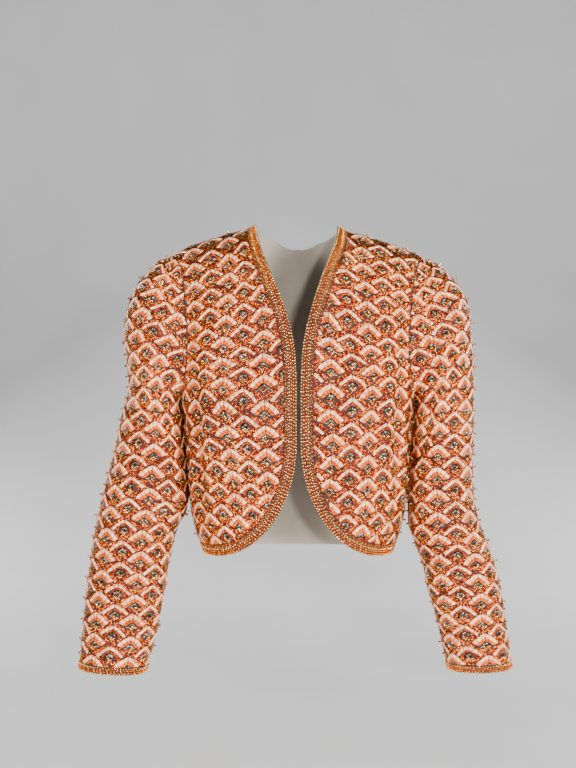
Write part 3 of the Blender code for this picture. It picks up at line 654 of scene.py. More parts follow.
# The height of each row of B fans above the cuff's edge, and the turn of the sleeve's first B
# column at shares of the way down
RIGHT_SLEEVE_ROWS = ((-2, -0.0350), (0, 0.0214), (6, 0.1880), (12, 0.3639), (15, 0.4541), (22, 0.6650))
LEFT_SLEEVE_ROWS = ((-2, -0.0350), (0, 0.0210), (5, 0.1555), (10, 0.3010), (22, 0.6600))
RIGHT_SLEEVE_LINE = (
    (0.00, 76.0), (0.13, 79.0), (0.17, 83.0), (0.23, 80.0), (0.30, 70.0), (0.45, 70.0),
    (0.62, 78.5), (0.70, 82.5), (0.85, 83.5), (1.00, 87.0),
)
LEFT_SLEEVE_LINE = (
    (0.00, 76.0), (0.30, 78.0), (0.40, 75.0), (0.46, 71.2), (0.51, 69.4), (0.57, 71.2), (0.63, 80.6),
    (0.69, 93.0), (0.74, 99.4), (0.80, 103.5), (0.85, 108.0), (0.90, 111.5), (1.00, 111.0),
)
LINE_WINDOW = 31  # rows that the turn of that column is smoothed over
BICEPS_RING = 5  # the ring that distances round the sleeve's head are measured at
MISS_LIMIT = 0.0005  # a place found this far off does not lie on the sleeve

# The chevron of a cell is an arch over its fan. It drops to each side by slope * x + curve * x * x,
# and its rows of long beads lie side by side under its top line. Each kind of cell has its top,
# slope, curve and reach.
ARCHES = {"A": (0.0174, 0.36, 21.0, 0.0180), "B": (0.0163, 0.48, 13.0, 0.0186)}
ARCH_START = 0.0002  # how far from the middle an arm of an arch starts
ROW_COLUMNS = ("finish", "depth", "short", "radius")
A_ROWS = (
    ("white", 0.0009, 0.0000, 0.00082),
    ("white", 0.0024, 0.0004, 0.00082),
    ("white", 0.0039, 0.0012, 0.00080),
    ("coral", 0.0055, 0.0010, 0.00080),
    ("coral", 0.0070, 0.0018, 0.00080),
    ("coral", 0.0085, 0.0034, 0.00078),
)
B_ROWS = (
    ("white", 0.0010, 0.0000, 0.00094),
    ("white", 0.0029, 0.0008, 0.00094),
)
ROW_LIFT = 0.0002  # how far a row's beads lie above the cloth

# A fan of beads spreads under the arch: its count, its first angle and its sweep in degrees, its
# longest reach, and how deep under the arch it ends. In a B cell, amber rays lie round it.
FAN_COLUMNS = ("count", "first", "sweep", "reach", "depth")
FANS = {"A": (15, -10, 200, 0.0092, 0.0098), "B": (12, -16, 212, 0.0070, 0.0046)}
FAN_START, FAN_RADIUS, FAN_LIFT = 0.0019, 0.00070, 0.0007
RAY_COUNT, RAY_FIRST, RAY_SWEEP = 11, -2, 184
RAY_START, RAY_REACH, RAY_RADIUS = 0.0073, 0.0112, 0.00088
SHORTEST_LISTED = 0.0012  # the shortest bead of a cell before it is laid on the cloth
SHORTEST_BUGLE, LONGEST_BUGLE = 0.0010, 0.014  # and once it is there

# Gold beads at a fan's foot, low ones and an upright pair: across, up, radius and height
GOLD_DOMES = (
    (-0.0029, -0.0014, 0.00120, 0.0006),
    (0.0029, -0.0014, 0.00120, 0.0006),
    (-0.0011, -0.0030, 0.00125, 0.0006),
    (0.0012, -0.0030, 0.00120, 0.0006),
    (0.0, -0.0050, 0.00115, 0.0005),
)
GOLD_STACK = ((0.0, 0.0, 0.00140, 0.0016), (0.0, 0.0002, 0.00165, 0.0040))

# Seed beads fill what is left, in rows that follow the arch. A step is from bead to bead, a pitch
# is from row to row, and clear is how far a seed bead's middle stays from every other bead.
SEED_RADIUS, SEED_STEP, SEED_PITCH, SEED_CLEAR = 0.00104, 0.00222, 0.00218, 0.00050
SEED_LAYERS, SEED_TOP = range(-24, 5), 0.0012
GOLD_OVERLAP = 0.0003  # how far a seed bead may reach in under a gold one

# How far inside a panel's outline each kind of bead stays
BUGLE_MARGIN, SEED_MARGIN, GOLD_MARGIN = 0.0007, 0.0009, 0.0012
FAN_MARGIN = -0.02  # a fan this far outside may still have beads inside

# How unevenly the beads are sewn, and how their tones spread
CELL_SHIFT, CELL_LEAN, CELL_SPREAD = 0.0004, 2.2, 0.012
BUGLE_SHIFT, BUGLE_LEAN, HEIGHT_SPREAD = 0.00010, 0.00016, 0.00012
BUGLE_SAMPLES = np.linspace(0, 1, 5)  # where a long bead is measured along its length
BUGLE_LENGTHS, SEED_SIZES = (0.90, 0.98), (0.85, 1.1)
SEED_LIFT, SEED_LIFT_SPREAD, GOLD_TILT = 0.0002, 0.0002, 0.10
BUGLE_TONES, SEED_TONES, GOLD_TONES = (1.6, 1.6), (0.55, 0.55), (0.1, 1)

# A sleeve's grid: the cells of the table that finds a place on it, and its width round the head
NODE_CELL, SLEEVE_WIDTH = 0.003, 0.30

# Braids: gold and copper beads in rows on a tape
TAPE_HEIGHTS, TAPE_FOOT = (0.0006, 0.0013, 0.0006), 0.0001
BRAID_NUDGE = 0.0005  # how far along the line its way is measured over
BRAID_END = 0.6  # how far the first bead's middle lies from the end, in half lengths
EDGE_POINTS, NECK_POINTS, HEM_POINTS = 420, 90, 240  # points of the lines that braids follow
BRAID_LEAN, BRAID_SHIFT, BRAID_TONE_SPREAD, BRAID_SIZES = 9, 0.00015, 0.12, (0.93, 1.06)
BRAID_SHARES = (0.0, 0.5, 1.0)  # where the tape's three lines lie across its width
BRAID_ROW_COLUMNS = (
    "finish", "in_from_edge", "radius", "half_length", "pitch", "phase", "lift", "even_tone", "odd_tone",
)
BRAID_ROWS = (
    ("gold", 0.0013, 0.00132, 0.00140, 0.00390, 0.0, 0.0010, 0.98, 0.75),
    ("braid", 0.0041, 0.00145, 0.00180, 0.00450, 0.5, 0.0015, 0.95, 0.55),
    ("braid", 0.0071, 0.00145, 0.00180, 0.00450, 0.0, 0.0015, 0.55, 0.95),
    ("gold", 0.0098, 0.00132, 0.00140, 0.00390, 0.5, 0.0012, 0.98, 0.75),
    ("gold", 0.0121, 0.00120, 0.00120, 0.00330, 0.0, 0.0010, 0.60, 0.20),
    ("braid", 0.0144, 0.00110, 0.00110, 0.00260, 0.5, 0.0009, 0.75, 0.15),
)
CUFF_ROWS = (
    ("gold", 0.0012, 0.00127, 0.00135, 0.00380, 0.0, 0.0010, 0.98, 0.75),
    ("braid", 0.0038, 0.00140, 0.00175, 0.00440, 0.5, 0.0015, 0.95, 0.55),
    ("braid", 0.0066, 0.00140, 0.00175, 0.00440, 0.0, 0.0015, 0.55, 0.95),
    ("gold", 0.0091, 0.00122, 0.00130, 0.00370, 0.5, 0.0010, 0.98, 0.65),
)

# Studio
STUDIO_DARK, STUDIO_LIGHT = (0.60, 0.60, 0.60), (0.64, 0.64, 0.64)
WORLD_COLOUR, WORLD_STRENGTH = (0.93, 0.95, 1.0, 1.0), 0.08
FLOOR_PLACE, FLOOR_SCALE = (0, -1.2, -0.70), (14, 9, 1)
WALL_HEIGHT, WALL_BEND = 7, 1.6
CAMERA_DISTANCE, VIEW_HEIGHT = 2.0, 1.0368
CAMERA_X, CAMERA_Z = -0.0135, -0.2106
LIGHT_COLUMNS = ("name", "place", "target", "size", "power")
LIGHTS = (
    ("key_softbox", (1.3, -2.3, -0.15), (0, 0, -0.3), 0.8, 134.0),
    ("fill_softbox", (-1.4, -2.3, -0.25), (0, 0, -0.3), 0.8, 70.0),
    ("top_softbox", (0.0, -0.8, 1.7), (0, 0, -0.2), 1.0, 3.0),
    ("front_sparkle", (0.3, -2.6, -0.1), (0, 0, -0.3), 0.15, 56.0),
    ("back_left_softbox", (-1.7, 1.9, 0.5), (0, 0, -0.25), 0.9, 62.0),
    ("back_right_softbox", (1.7, 1.9, 0.5), (0, 0, -0.25), 0.9, 62.0),
)


def read_grid(values, places):
    """A grid's values between its points. places are row and column numbers."""
    row = np.clip(places[..., 0], 0, values.shape[0] - 1.001)
    column_at = np.clip(places[..., 1], 0, values.shape[1] - 1.001)
    i, j = row.astype(int), column_at.astype(int)
    p, q = row - i, column_at - j
    if values.ndim == 3:
        p, q = p[..., None], q[..., None]
    low = values[i, j] * (1 - q) + values[i, j + 1] * q
    high = values[i + 1, j] * (1 - q) + values[i + 1, j + 1] * q
    return low * (1 - p) + high * p


def number_in(value, steps):
    """The place of a value in a rising list, as a number with its fraction."""
    return np.interp(value, steps, np.arange(len(steps)))


class Panel:
    """A piece of the jacket's cloth that beads are laid out on.

    Even columns of the pattern hold cells of even_kind, and raised_kind lies half a cell higher."""

    def __init__(self, name, side):
        self.name, self.side = name, side

    def cells(self):
        """The fans of the pattern, A then B, in metres across and up it."""
        found = {"A": [], "B": []}
        for k in self.column_numbers:
            kind = self.even_kind if k % 2 == 0 else OTHER_KIND[self.even_kind]
            half = 0.5 if kind == self.raised_kind else 0.0
            across = k * SPACINGS[self.name]
            found[kind] += [(across, (row + half) * CELL_HEIGHT) for row in self.row_numbers]
        return {kind: np.array(cells) for kind, cells in found.items()}


class TorsoPanel(Panel):
    """A front or the back. Its places are turn and level on the torso. The back's side is 0."""

    column_numbers, row_numbers, raised_kind = range(-9, 10), range(-5, 14), "B"

    def __init__(self, name, side, face, folds, outline):
        super().__init__(name, side)
        self.face, self.folds, self.even_kind = face, folds, "B" if side else "A"
        self.turns = turns = np.linspace(-math.pi / 2, math.pi / 2, TURN_COUNT)

        def across_at(level):
            """How far from the middle line each turn lies at a level."""
            arc = reach_along(torso_base(turns, np.full(TURN_COUNT, level), face))
            return arc - arc[TURN_COUNT // 2]

        self.arc = across_at(ARC_LEVEL)
        self.levels = np.linspace(-1, 1, LEVEL_COUNT)
        self.rise = reach_along(torso_base(np.full(LEVEL_COUNT, MERIDIAN_TURN), self.levels, face))
        self.outline = self.flat(outline)
        if not side:
            rows = (np.array(RIGHT_ROWS) + np.array(LEFT_ROWS)) / 2
            first = smooth(np.zeros(1), rows[:, 0], rows[:, 1])[0]
            self.first_rise = float(np.interp(first, self.levels, self.rise))
            table = [np.interp(TABLE_REACHES, across_at(level), turns) for level in TABLE_LEVELS]
            self.turn_table = np.array(table)

    def laid(self, across, up):
        """The places on the back at a distance across from its middle line and up from its first row."""
        level = np.interp(self.first_rise + up, self.rise, self.levels)
        at = np.stack([number_in(level, TABLE_LEVELS), number_in(across, TABLE_REACHES)], -1)
        return np.stack([read_grid(self.turn_table, at), level], -1)

    def flat(self, places):
        """Places as metres across and up."""
        across = np.interp(places[..., 0], self.turns, self.arc)
        return np.stack([across, np.interp(places[..., 1], self.levels, self.rise)], -1)

    def find(self, pattern):
        """The places of points of the pattern, given in metres across and up it."""
        if not self.side:
            return self.laid(pattern[..., 0], pattern[..., 1])
        columns = np.array(RIGHT_COLUMNS if self.side == RIGHT else LEFT_COLUMNS)
        rows = np.array(RIGHT_ROWS if self.side == RIGHT else LEFT_ROWS)
        count = pattern[..., 0] * self.side / SPACINGS[self.name]
        level = smooth(pattern[..., 1] / CELL_HEIGHT, rows[:, 0], rows[:, 1])
        listed = [smooth(level, columns[:, 0], columns[:, k]) for k in range(1, 5)]
        listed.insert(0, 2 * listed[0] - listed[1])
        before = [listed[0] - SIDE_COLUMN_TURN * k for k in range(COLUMNS_BEFORE, 0, -1)]
        beyond = [listed[-1] + SIDE_COLUMN_TURN * k for k in range(1, COLUMNS_BEYOND + 1)]
        turns = np.stack(before + listed + beyond, -1)
        at = np.clip(count + COLUMNS_BEFORE, 0, turns.shape[-1] - 1.001)
        low = at.astype(int)[..., None]
        share = at - low[..., 0]
        turn = np.take_along_axis(turns, low, -1)[..., 0] * (1 - share)
        turn += np.take_along_axis(turns, low + 1, -1)[..., 0] * share
        return np.stack([np.radians(turn) * self.side, level], -1)

    def room(self, places):
        """How far inside the outline a place lies, and less than 0 outside it."""
        flat = self.flat(places)
        x, y = flat[:, 0], flat[:, 1]
        inside = np.zeros(len(flat), bool)
        nearest = np.full(len(flat), 1.0)
        start = self.outline
        end = np.roll(start, -1, axis=0)
        for (ax, ay), (bx, by) in zip(start, end):
            crosses = (ay > y) != (by > y)
            if ay != by:
                inside ^= crosses & (x < (bx - ax) * (y - ay) / (by - ay) + ax)
            length = (bx - ax) ** 2 + (by - ay) ** 2
            if length > 0:
                share = np.clip(((x - ax) * (bx - ax) + (y - ay) * (by - ay)) / length, 0, 1)
                away = np.hypot(x - ax - share * (bx - ax), y - ay - share * (by - ay))
                nearest = np.minimum(nearest, away)
        on_torso = (np.abs(places[:, 1]) < 1) & (np.abs(places[:, 0]) < math.pi / 2)
        return np.where(inside & on_torso, nearest, -nearest - 1e-6)

    def surface(self, places):
        """Points and outward normals of the folded cloth."""
        turn, level = places[..., 0], places[..., 1]

        def folded(t, v):
            """The cloth at a turn and level."""
            return torso_point(t, v, self.face, self.folds)

        level = np.clip(level, BOTTOM_LEVEL, TOP_LEVEL)
        return folded(turn, level), surface_normal(folded, turn, level, -self.face)


class SleevePanel(Panel):
    """A sleeve. Its places are row and column numbers of a dense grid of points."""

    column_numbers, row_numbers = range(-12, 13), range(-2, 22)
    even_kind, raised_kind = "B", "A"

    def __init__(self, name, side):
        super().__init__(name, side)
        count = DENSE_SLEEVE_ROUND
        at = np.linspace(0, 1, DENSE_SLEEVE_ROWS)
        rows, _ = sleeve_rows(side, count, at)
        turn = np.concatenate([np.arange(count // 2, count), np.arange(count // 2 + 1)])
        self.normals = grid_normals(rows)[:, turn]
        self.points = rows = rows[:, turn]
        steps = np.linalg.norm(np.diff(rows, axis=0), axis=2)
        up = np.zeros(rows.shape[:2])
        up[:-1] = np.cumsum(steps[::-1], axis=0)[::-1]
        steps = np.linalg.norm(np.diff(rows, axis=1), axis=2)
        arc = np.concatenate([np.zeros((len(rows), 1)), np.cumsum(steps, axis=1)], axis=1)
        loop, _ = armhole_ring(side, count)
        shares, _ = sleeve_rings(side, loop)
        biceps = int(round(shares[BICEPS_RING] * (DENSE_SLEEVE_ROWS - 1)))
        arc[:biceps] = arc[biceps]
        line = np.array(RIGHT_SLEEVE_LINE if side == RIGHT else LEFT_SLEEVE_LINE)
        reference = np.interp(at, line[:, 0], line[:, 1])
        kernel = np.hanning(LINE_WINDOW) / np.hanning(LINE_WINDOW).sum()
        reference = np.convolve(np.pad(reference, LINE_WINDOW // 2, mode="edge"), kernel, mode="valid")
        index = (np.radians(reference) + math.pi) / (2 * math.pi) * count
        start = np.array([np.interp(i, np.arange(count + 1), row) for i, row in zip(index, arc)])
        self.across, self.up = arc - start[:, None], up
        self.slopes = [np.gradient(values, axis=axis) for values in (self.across, self.up) for axis in (0, 1)]
        cuff = 1 - CUFF_BRAID_WIDTH / SLEEVE_LENGTH
        self.last_row = cuff * (DENSE_SLEEVE_ROWS - 1)
        self.near = self.nearest_nodes()

    def nearest_nodes(self):
        """A table of the grid's nodes by their distance across and up."""
        low = self.across.min()
        size = (int((self.across.max() - low) / NODE_CELL) + 3, int(self.up.max() / NODE_CELL) + 3)
        near = np.full((*size, 2), -1.0)
        nodes = np.stack(np.meshgrid(*(np.arange(n, dtype=float) for n in self.up.shape), indexing="ij"), -1)
        i, j = ((self.across - low) / NODE_CELL).astype(int), (self.up / NODE_CELL).astype(int)
        near[i, j] = nodes
        for _ in range(12):
            for axis, way in ((0, 1), (0, -1), (1, 1), (1, -1)):
                shifted = np.roll(near, way, axis=axis)
                empty = (near[..., 0] < 0) & (shifted[..., 0] >= 0)
                near[empty] = shifted[empty]
        return near

    def find(self, pattern):
        """The places of points of the pattern, given in metres across and up it."""
        rows = np.array(RIGHT_SLEEVE_ROWS if self.side == RIGHT else LEFT_SLEEVE_ROWS)
        flat_x = pattern[..., 0]
        flat_y = smooth(pattern[..., 1] / CELL_HEIGHT, rows[:, 0], rows[:, 1])
        size = np.array(self.near.shape[:2]) - 1
        i = np.clip(((flat_x - self.across.min()) / NODE_CELL).astype(int), 0, size[0])
        j = np.clip((flat_y / NODE_CELL).astype(int), 0, size[1])
        places = np.maximum(self.near[i, j], 0)
        last = [DENSE_SLEEVE_ROWS - 1.001, DENSE_SLEEVE_ROUND - 0.001]
        for _ in range(6):
            places = np.clip(places, 0, last)
            short_x = flat_x - read_grid(self.across, places)
            short_y = flat_y - read_grid(self.up, places)
            xi, xj, yi, yj = (read_grid(slope, places) for slope in self.slopes)
            size = xi * yj - xj * yi
            step = np.stack([(short_x * yj - xj * short_y) / size, (xi * short_y - yi * short_x) / size], -1)
            places = places + np.clip(step, -3, 3)
        places = np.clip(places, 0, last)
        miss = np.hypot(flat_x - read_grid(self.across, places), flat_y - read_grid(self.up, places))
        return np.where((miss > MISS_LIMIT)[..., None], -1.0, places)

    def room(self, places):
        """How far inside the sleeve's cut a place lies, and less than 0 outside it."""
        row, column_at = places[..., 0], places[..., 1]
        down = row / (DENSE_SLEEVE_ROWS - 1) * SLEEVE_LENGTH
        up = (self.last_row - row) / (DENSE_SLEEVE_ROWS - 1) * SLEEVE_LENGTH
        wide = SLEEVE_WIDTH / DENSE_SLEEVE_ROUND
        return np.minimum.reduce([down, up, column_at * wide, (DENSE_SLEEVE_ROUND - column_at) * wide])

    def surface(self, places):
        """Points and outward normals of the folded cloth."""
        return read_grid(self.points, places), unit(read_grid(self.normals, places))


def arch_row(kind, depth, short):
    """One arm of a row of a cell's arch, as points from its top down to the +x side."""
    top, slope, curve, reach = ARCHES[kind]
    x = np.linspace(0, reach, 60)
    fall = slope + 2 * curve * x
    scale = depth / np.hypot(1, fall)
    line = np.stack([x - fall * scale, top - slope * x - curve * x**2 - scale], -1)
    line = line[line[:, 0] > ARCH_START]
    gone = reach_along(line)
    return line[gone < gone[-1] - short]


def cell_bugles(kind):
    """The long beads of one cell, as finish, both ends from its fan, radius and lift."""
    beads = []
    for row in named_rows(A_ROWS if kind == "A" else B_ROWS, ROW_COLUMNS):
        line = resample(arch_row(kind, row["depth"], row["short"]), 4)
        for way in (-1, 1):
            for (ax, ay), (bx, by) in zip(line[:-1], line[1:]):
                beads.append((row["finish"], way * ax, ay, way * bx, by, row["radius"], ROW_LIFT))
    fan = dict(zip(FAN_COLUMNS, FANS[kind]))
    edge = arch_row(kind, fan["depth"], 0.0)
    edge_angle = np.arctan2(edge[:, 1], edge[:, 0])
    edge_reach = np.hypot(edge[:, 0], edge[:, 1])

    def spread(finish, count, first, sweep, start, reach, radius, lift):
        """Adds beads that fan out, each as far as the arch leaves room."""
        for k in range(count):
            angle = math.radians(first + sweep * k / (count - 1))
            folded = angle if angle < math.pi / 2 else math.pi - angle
            far = min(float(np.interp(folded, edge_angle[::-1], edge_reach[::-1])), reach)
            x, y = math.cos(angle), math.sin(angle)
            beads.append((finish, start * x, start * y, far * x, far * y, radius, lift))

    spread("fan", fan["count"], fan["first"], fan["sweep"], FAN_START, fan["reach"], FAN_RADIUS, FAN_LIFT)
    if kind == "B":
        spread("ray", RAY_COUNT, RAY_FIRST, RAY_SWEEP, RAY_START, RAY_REACH, RAY_RADIUS, ROW_LIFT)
    return [bead for bead in beads if math.hypot(bead[3] - bead[1], bead[4] - bead[2]) > SHORTEST_LISTED]


def cell_seeds(kind, spacing):
    """The seed beads that fill one cell round its other beads, as across and up."""
    half = CELL_HEIGHT / 2
    taken = []
    for across in (-2, -1, 0, 1, 2):
        for up in (-2, 0, 2) if across % 2 == 0 else (-1, 1):
            for bead in cell_bugles(kind if across % 2 == 0 else OTHER_KIND[kind]):
                x, y = across * spacing, up * half
                taken.append((bead[1] + x, bead[2] + y, bead[3] + x, bead[4] + y, bead[5]))
            for bead in GOLD_DOMES + GOLD_STACK:
                x, y = bead[0] + across * spacing, bead[1] + up * half
                taken.append((x, y, x, y, bead[2] - GOLD_OVERLAP))
    taken = np.array(taken)
    top, slope, curve, _ = ARCHES[kind]
    across_cell = np.linspace(0, spacing, 400)
    seeds = []
    for layer in SEED_LAYERS:
        height = top + SEED_TOP + layer * SEED_PITCH - slope * across_cell - curve * across_cell**2
        line = np.stack([across_cell, height], -1)
        gone = reach_along(line)
        at = np.arange(0.5 if layer % 2 else 1.0, gone[-1] / SEED_STEP) * SEED_STEP
        for x, y in read_line(at, gone, line):
            if x / spacing + abs(y - CELL_MIDDLE) / half > 1:
                continue
            for way in (-1, 1):
                start, end = taken[:, 0:2], taken[:, 2:4]
                along = end - start
                length = np.maximum(np.sum(along**2, axis=1), 1e-12)
                point = np.array([way * x, y])
                share = np.clip(np.sum((point - start) * along, axis=1) / length, 0, 1)
                gap = np.linalg.norm(point - start - along * share[:, None], axis=1) - taken[:, 4]
                if gap.min() > SEED_CLEAR:
                    seeds.append((way * x, y))
    return np.array(seeds)


class BeadForm:
    """The mesh of one bead, modelled once and repeated: a primitive, without what lies below a cut."""

    def __init__(self, primitive, cut=None, **shape):
        bpy.ops.object.select_all(action="DESELECT")
        primitive(**shape)
        bpy.ops.object.transform_apply(location=True, rotation=True, scale=True)
        if cut is not None:
            bpy.ops.object.mode_set(mode="EDIT")
            bpy.ops.mesh.select_all(action="SELECT")
            bpy.ops.mesh.bisect(plane_co=(0, 0, cut), plane_no=(0, 0, 1), clear_inner=True, threshold=1e-5)
            bpy.ops.object.mode_set(mode="OBJECT")
        piece = bpy.context.object
        mesh = piece.data
        mesh.calc_loop_triangles()
        self.points = np.array([tuple(vertex.co) for vertex in mesh.vertices])
        self.triangles = np.array([tuple(triangle.vertices) for triangle in mesh.loop_triangles])
        bpy.data.objects.remove(piece)
        bpy.data.meshes.remove(mesh)


# A low five-sided dome, the upper half of a six-sided tube, a small faceted ball and an oval
PRIMITIVES = bpy.ops.mesh
ALONG_X = (0, math.pi / 2, 0)
SEED = BeadForm(
    PRIMITIVES.primitive_cone_add,
    vertices=5,
    radius1=1.0,
    depth=1.5,
    end_fill_type="NOTHING",
    location=(0, 0, 0.45),
)
BUGLE = BeadForm(
    PRIMITIVES.primitive_cylinder_add, 0.001, vertices=6, radius=1.0, depth=1.0, rotation=ALONG_X
)
SMALL_ROUND = BeadForm(PRIMITIVES.primitive_ico_sphere_add, subdivisions=1, radius=1.0)
OVAL = BeadForm(
    PRIMITIVES.primitive_uv_sphere_add, -0.35, segments=6, ring_count=4, radius=1.0, rotation=ALONG_X
)


def bead_frames(axis, normal):
    """Rotation matrices with X along the axis and Z along the normal."""
    z = unit(normal)
    x = unit(axis - np.sum(axis * z, axis=1, keepdims=True) * z)
    return np.stack([x, np.cross(z, x), z], -1)


def repeat(form, centres, frames, sizes):
    """Copies of a bead as points and triangles. sizes holds the three half sizes of each."""
    local = form.points[None] * sizes[:, None, :]
    points = np.einsum("nij,nvj->nvi", frames, local) + centres[:, None]
    first = np.arange(len(centres)) * len(form.points)
    triangles = form.triangles[None] + first[:, None, None]
    return points.reshape(-1, 3), triangles.reshape(-1, 3)


class BeadMesh:
    """Gathers repeated beads into one piece."""

    def __init__(self, name, finishes):
        self.name, self.finishes = name, finishes
        self.points, self.triangles, self.tones, self.indices = [], [], [], []
        self.count = 0

    def add(self, form, centres, frames, sizes, tones, finish):
        """Adds beads of one form and finish."""
        if len(centres) == 0:
            return
        points, triangles = repeat(form, centres, frames, sizes)
        self.points.append(points)
        self.triangles.append(triangles + self.count)
        self.tones.append(np.repeat(tones, len(form.points)))
        self.indices.append(np.full(len(triangles), self.finishes.index(finish)))
        self.count += len(points)

    def build(self):
        """Makes the piece."""
        points = np.concatenate(self.points)
        mesh = new_mesh(self.name, points, np.concatenate(self.triangles))
        mesh.polygons.foreach_set("material_index", np.concatenate(self.indices).astype(np.int32))
        tone = mesh.attributes.new("tone", "FLOAT", "POINT")
        tone.data.foreach_set("value", np.concatenate(self.tones).astype(np.float32))
        for finish in self.finishes:
            mesh.materials.append(MATERIALS[finish])
        return add_piece(self.name, mesh)


def new_mesh(name, points, triangles):
    """A smooth mesh from arrays."""
    mesh = bpy.data.meshes.new(name)
    mesh.from_pydata(points.tolist(), [], triangles.tolist())
    mesh.shade_smooth()
    return mesh


def add_piece(name, mesh):
    """A piece of the scene that rides on the jacket."""
    piece = bpy.data.objects.new(name, mesh)
    bpy.context.scene.collection.objects.link(piece)
    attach(piece, "root")
    return piece


# Materials


class Shade:
    """An output of a material's nodes. Sums and products of it add Math nodes."""

    def __init__(self, tree, socket):
        self.tree, self.socket = tree, socket

    def math(self, operation, other):
        """A Math node on this value and another."""
        node = self.tree.nodes.new("ShaderNodeMath")
        node.operation = operation
        set_socket(self.tree, node.inputs[0], self)
        set_socket(self.tree, node.inputs[1], other)
        return Shade(self.tree, node.outputs[0])

    def __add__(self, other):
        return self.math("ADD", other)

    def __mul__(self, other):
        return self.math("MULTIPLY", other)


def set_socket(tree, inlet, value):
    """Gives a socket its value, or a link from another node."""
    if isinstance(value, Shade):
        tree.links.new(value.socket, inlet)
    else:
        inlet.default_value = value


class Finish:
    """A material that is being put together."""

    def __init__(self, name, **values):
        self.material = bpy.data.materials.new(name)
        self.material.use_nodes = True
        self.tree = self.material.node_tree
        self.shader = self.tree.nodes["Principled BSDF"]
        self.feed(**values)

    def feed(self, node=None, **values):
        """Gives sockets of a node, or of the shader, their values or links."""
        for key, value in values.items():
            name = key.replace("_", " ").title().replace("Ior", "IOR")
            set_socket(self.tree, (node or self.shader).inputs[name], value)

    def node(self, kind, settings=None, output=0, **values):
        """One node: its type, its settings, the output to read, and its sockets' values or links."""
        node = self.tree.nodes.new(kind)
        for key, value in (settings or {}).items():
            setattr(node, key, value)
        self.feed(node, **values)
        return Shade(self.tree, node.outputs[output])

    def place(self):
        """The place on the piece, in metres."""
        return self.node("ShaderNodeTexCoord", output="Object")

    def tone(self):
        """The tone of each bead, 0 to 1."""
        return self.node("ShaderNodeAttribute", {"attribute_name": "tone"}, output="Fac")

    def noise(self, scale, detail=2.0):
        """Noise, 0 to 1, with its scale in waves a metre."""
        return self.node(
            "ShaderNodeTexNoise", vector=self.place(), scale=scale, detail=detail, roughness=0.5
        )

    def bands(self, way, scale):
        """Uneven stripes along one axis, 0 to 1."""
        settings = {"wave_type": "BANDS", "bands_direction": way}
        return self.node(
            "ShaderNodeTexWave", settings, "Fac", vector=self.place(), scale=scale, distortion=1.2, detail=2.0
        )

    def ramp(self, value, *stops):
        """Colours along a value."""
        shade = self.node("ShaderNodeValToRGB", fac=value)
        elements = shade.socket.node.color_ramp.elements
        while len(elements) < len(stops):
            elements.new(0.5)
        for element, (position, colour) in zip(elements, stops):
            element.position, element.color = position, (*colour, 1.0)
        return shade

    def bump(self, height, strength, distance):
        """Raises the surface by a height map."""
        bump = self.node("ShaderNodeBump", height=height, strength=strength, distance=distance)
        self.feed(normal=bump)


def bead_finish(name, stops, roughness, rough_spread, **values):
    """Glass or metal beads: a colour by each bead's tone, with uneven gloss and fine pits."""
    finish = Finish(name, **values)
    value = finish.tone() * 0.86 + finish.noise(22.0) * 0.14
    finish.feed(base_color=finish.ramp(value, *stops))
    finish.feed(roughness=finish.noise(900.0, 3.0) * rough_spread + (roughness - rough_spread / 2))
    finish.bump(finish.noise(1500.0), 0.25, 0.0002)
    return finish.material


def silk_finish(name, dark, light, weave, roughness, sheen):
    """Woven silk: warp and weft lines, uneven dye, soft creases."""
    finish = Finish(name, sheen_weight=sheen, sheen_roughness=0.4)
    threads = finish.bands("X", weave) * 0.55 + finish.bands("Z", weave * 0.9) * 0.45
    dye = finish.noise(14.0, 4.0) * 0.65 + threads * 0.35
    finish.feed(base_color=finish.ramp(dye, (0.25, dark), (0.75, light)))
    finish.feed(roughness=threads * 0.14 + (roughness - 0.07))
    finish.bump(threads * 0.15 + finish.noise(38.0) * 0.85, 0.6, 0.0030)
    return finish.material


def studio_finish():
    """Pale painted floor."""
    finish = Finish("studio_floor_paint")
    finish.feed(base_color=finish.ramp(finish.noise(3.0), (0.3, STUDIO_DARK), (0.7, STUDIO_LIGHT)))
    finish.feed(roughness=finish.noise(60.0) * 0.1 + 0.75)
    return finish.material


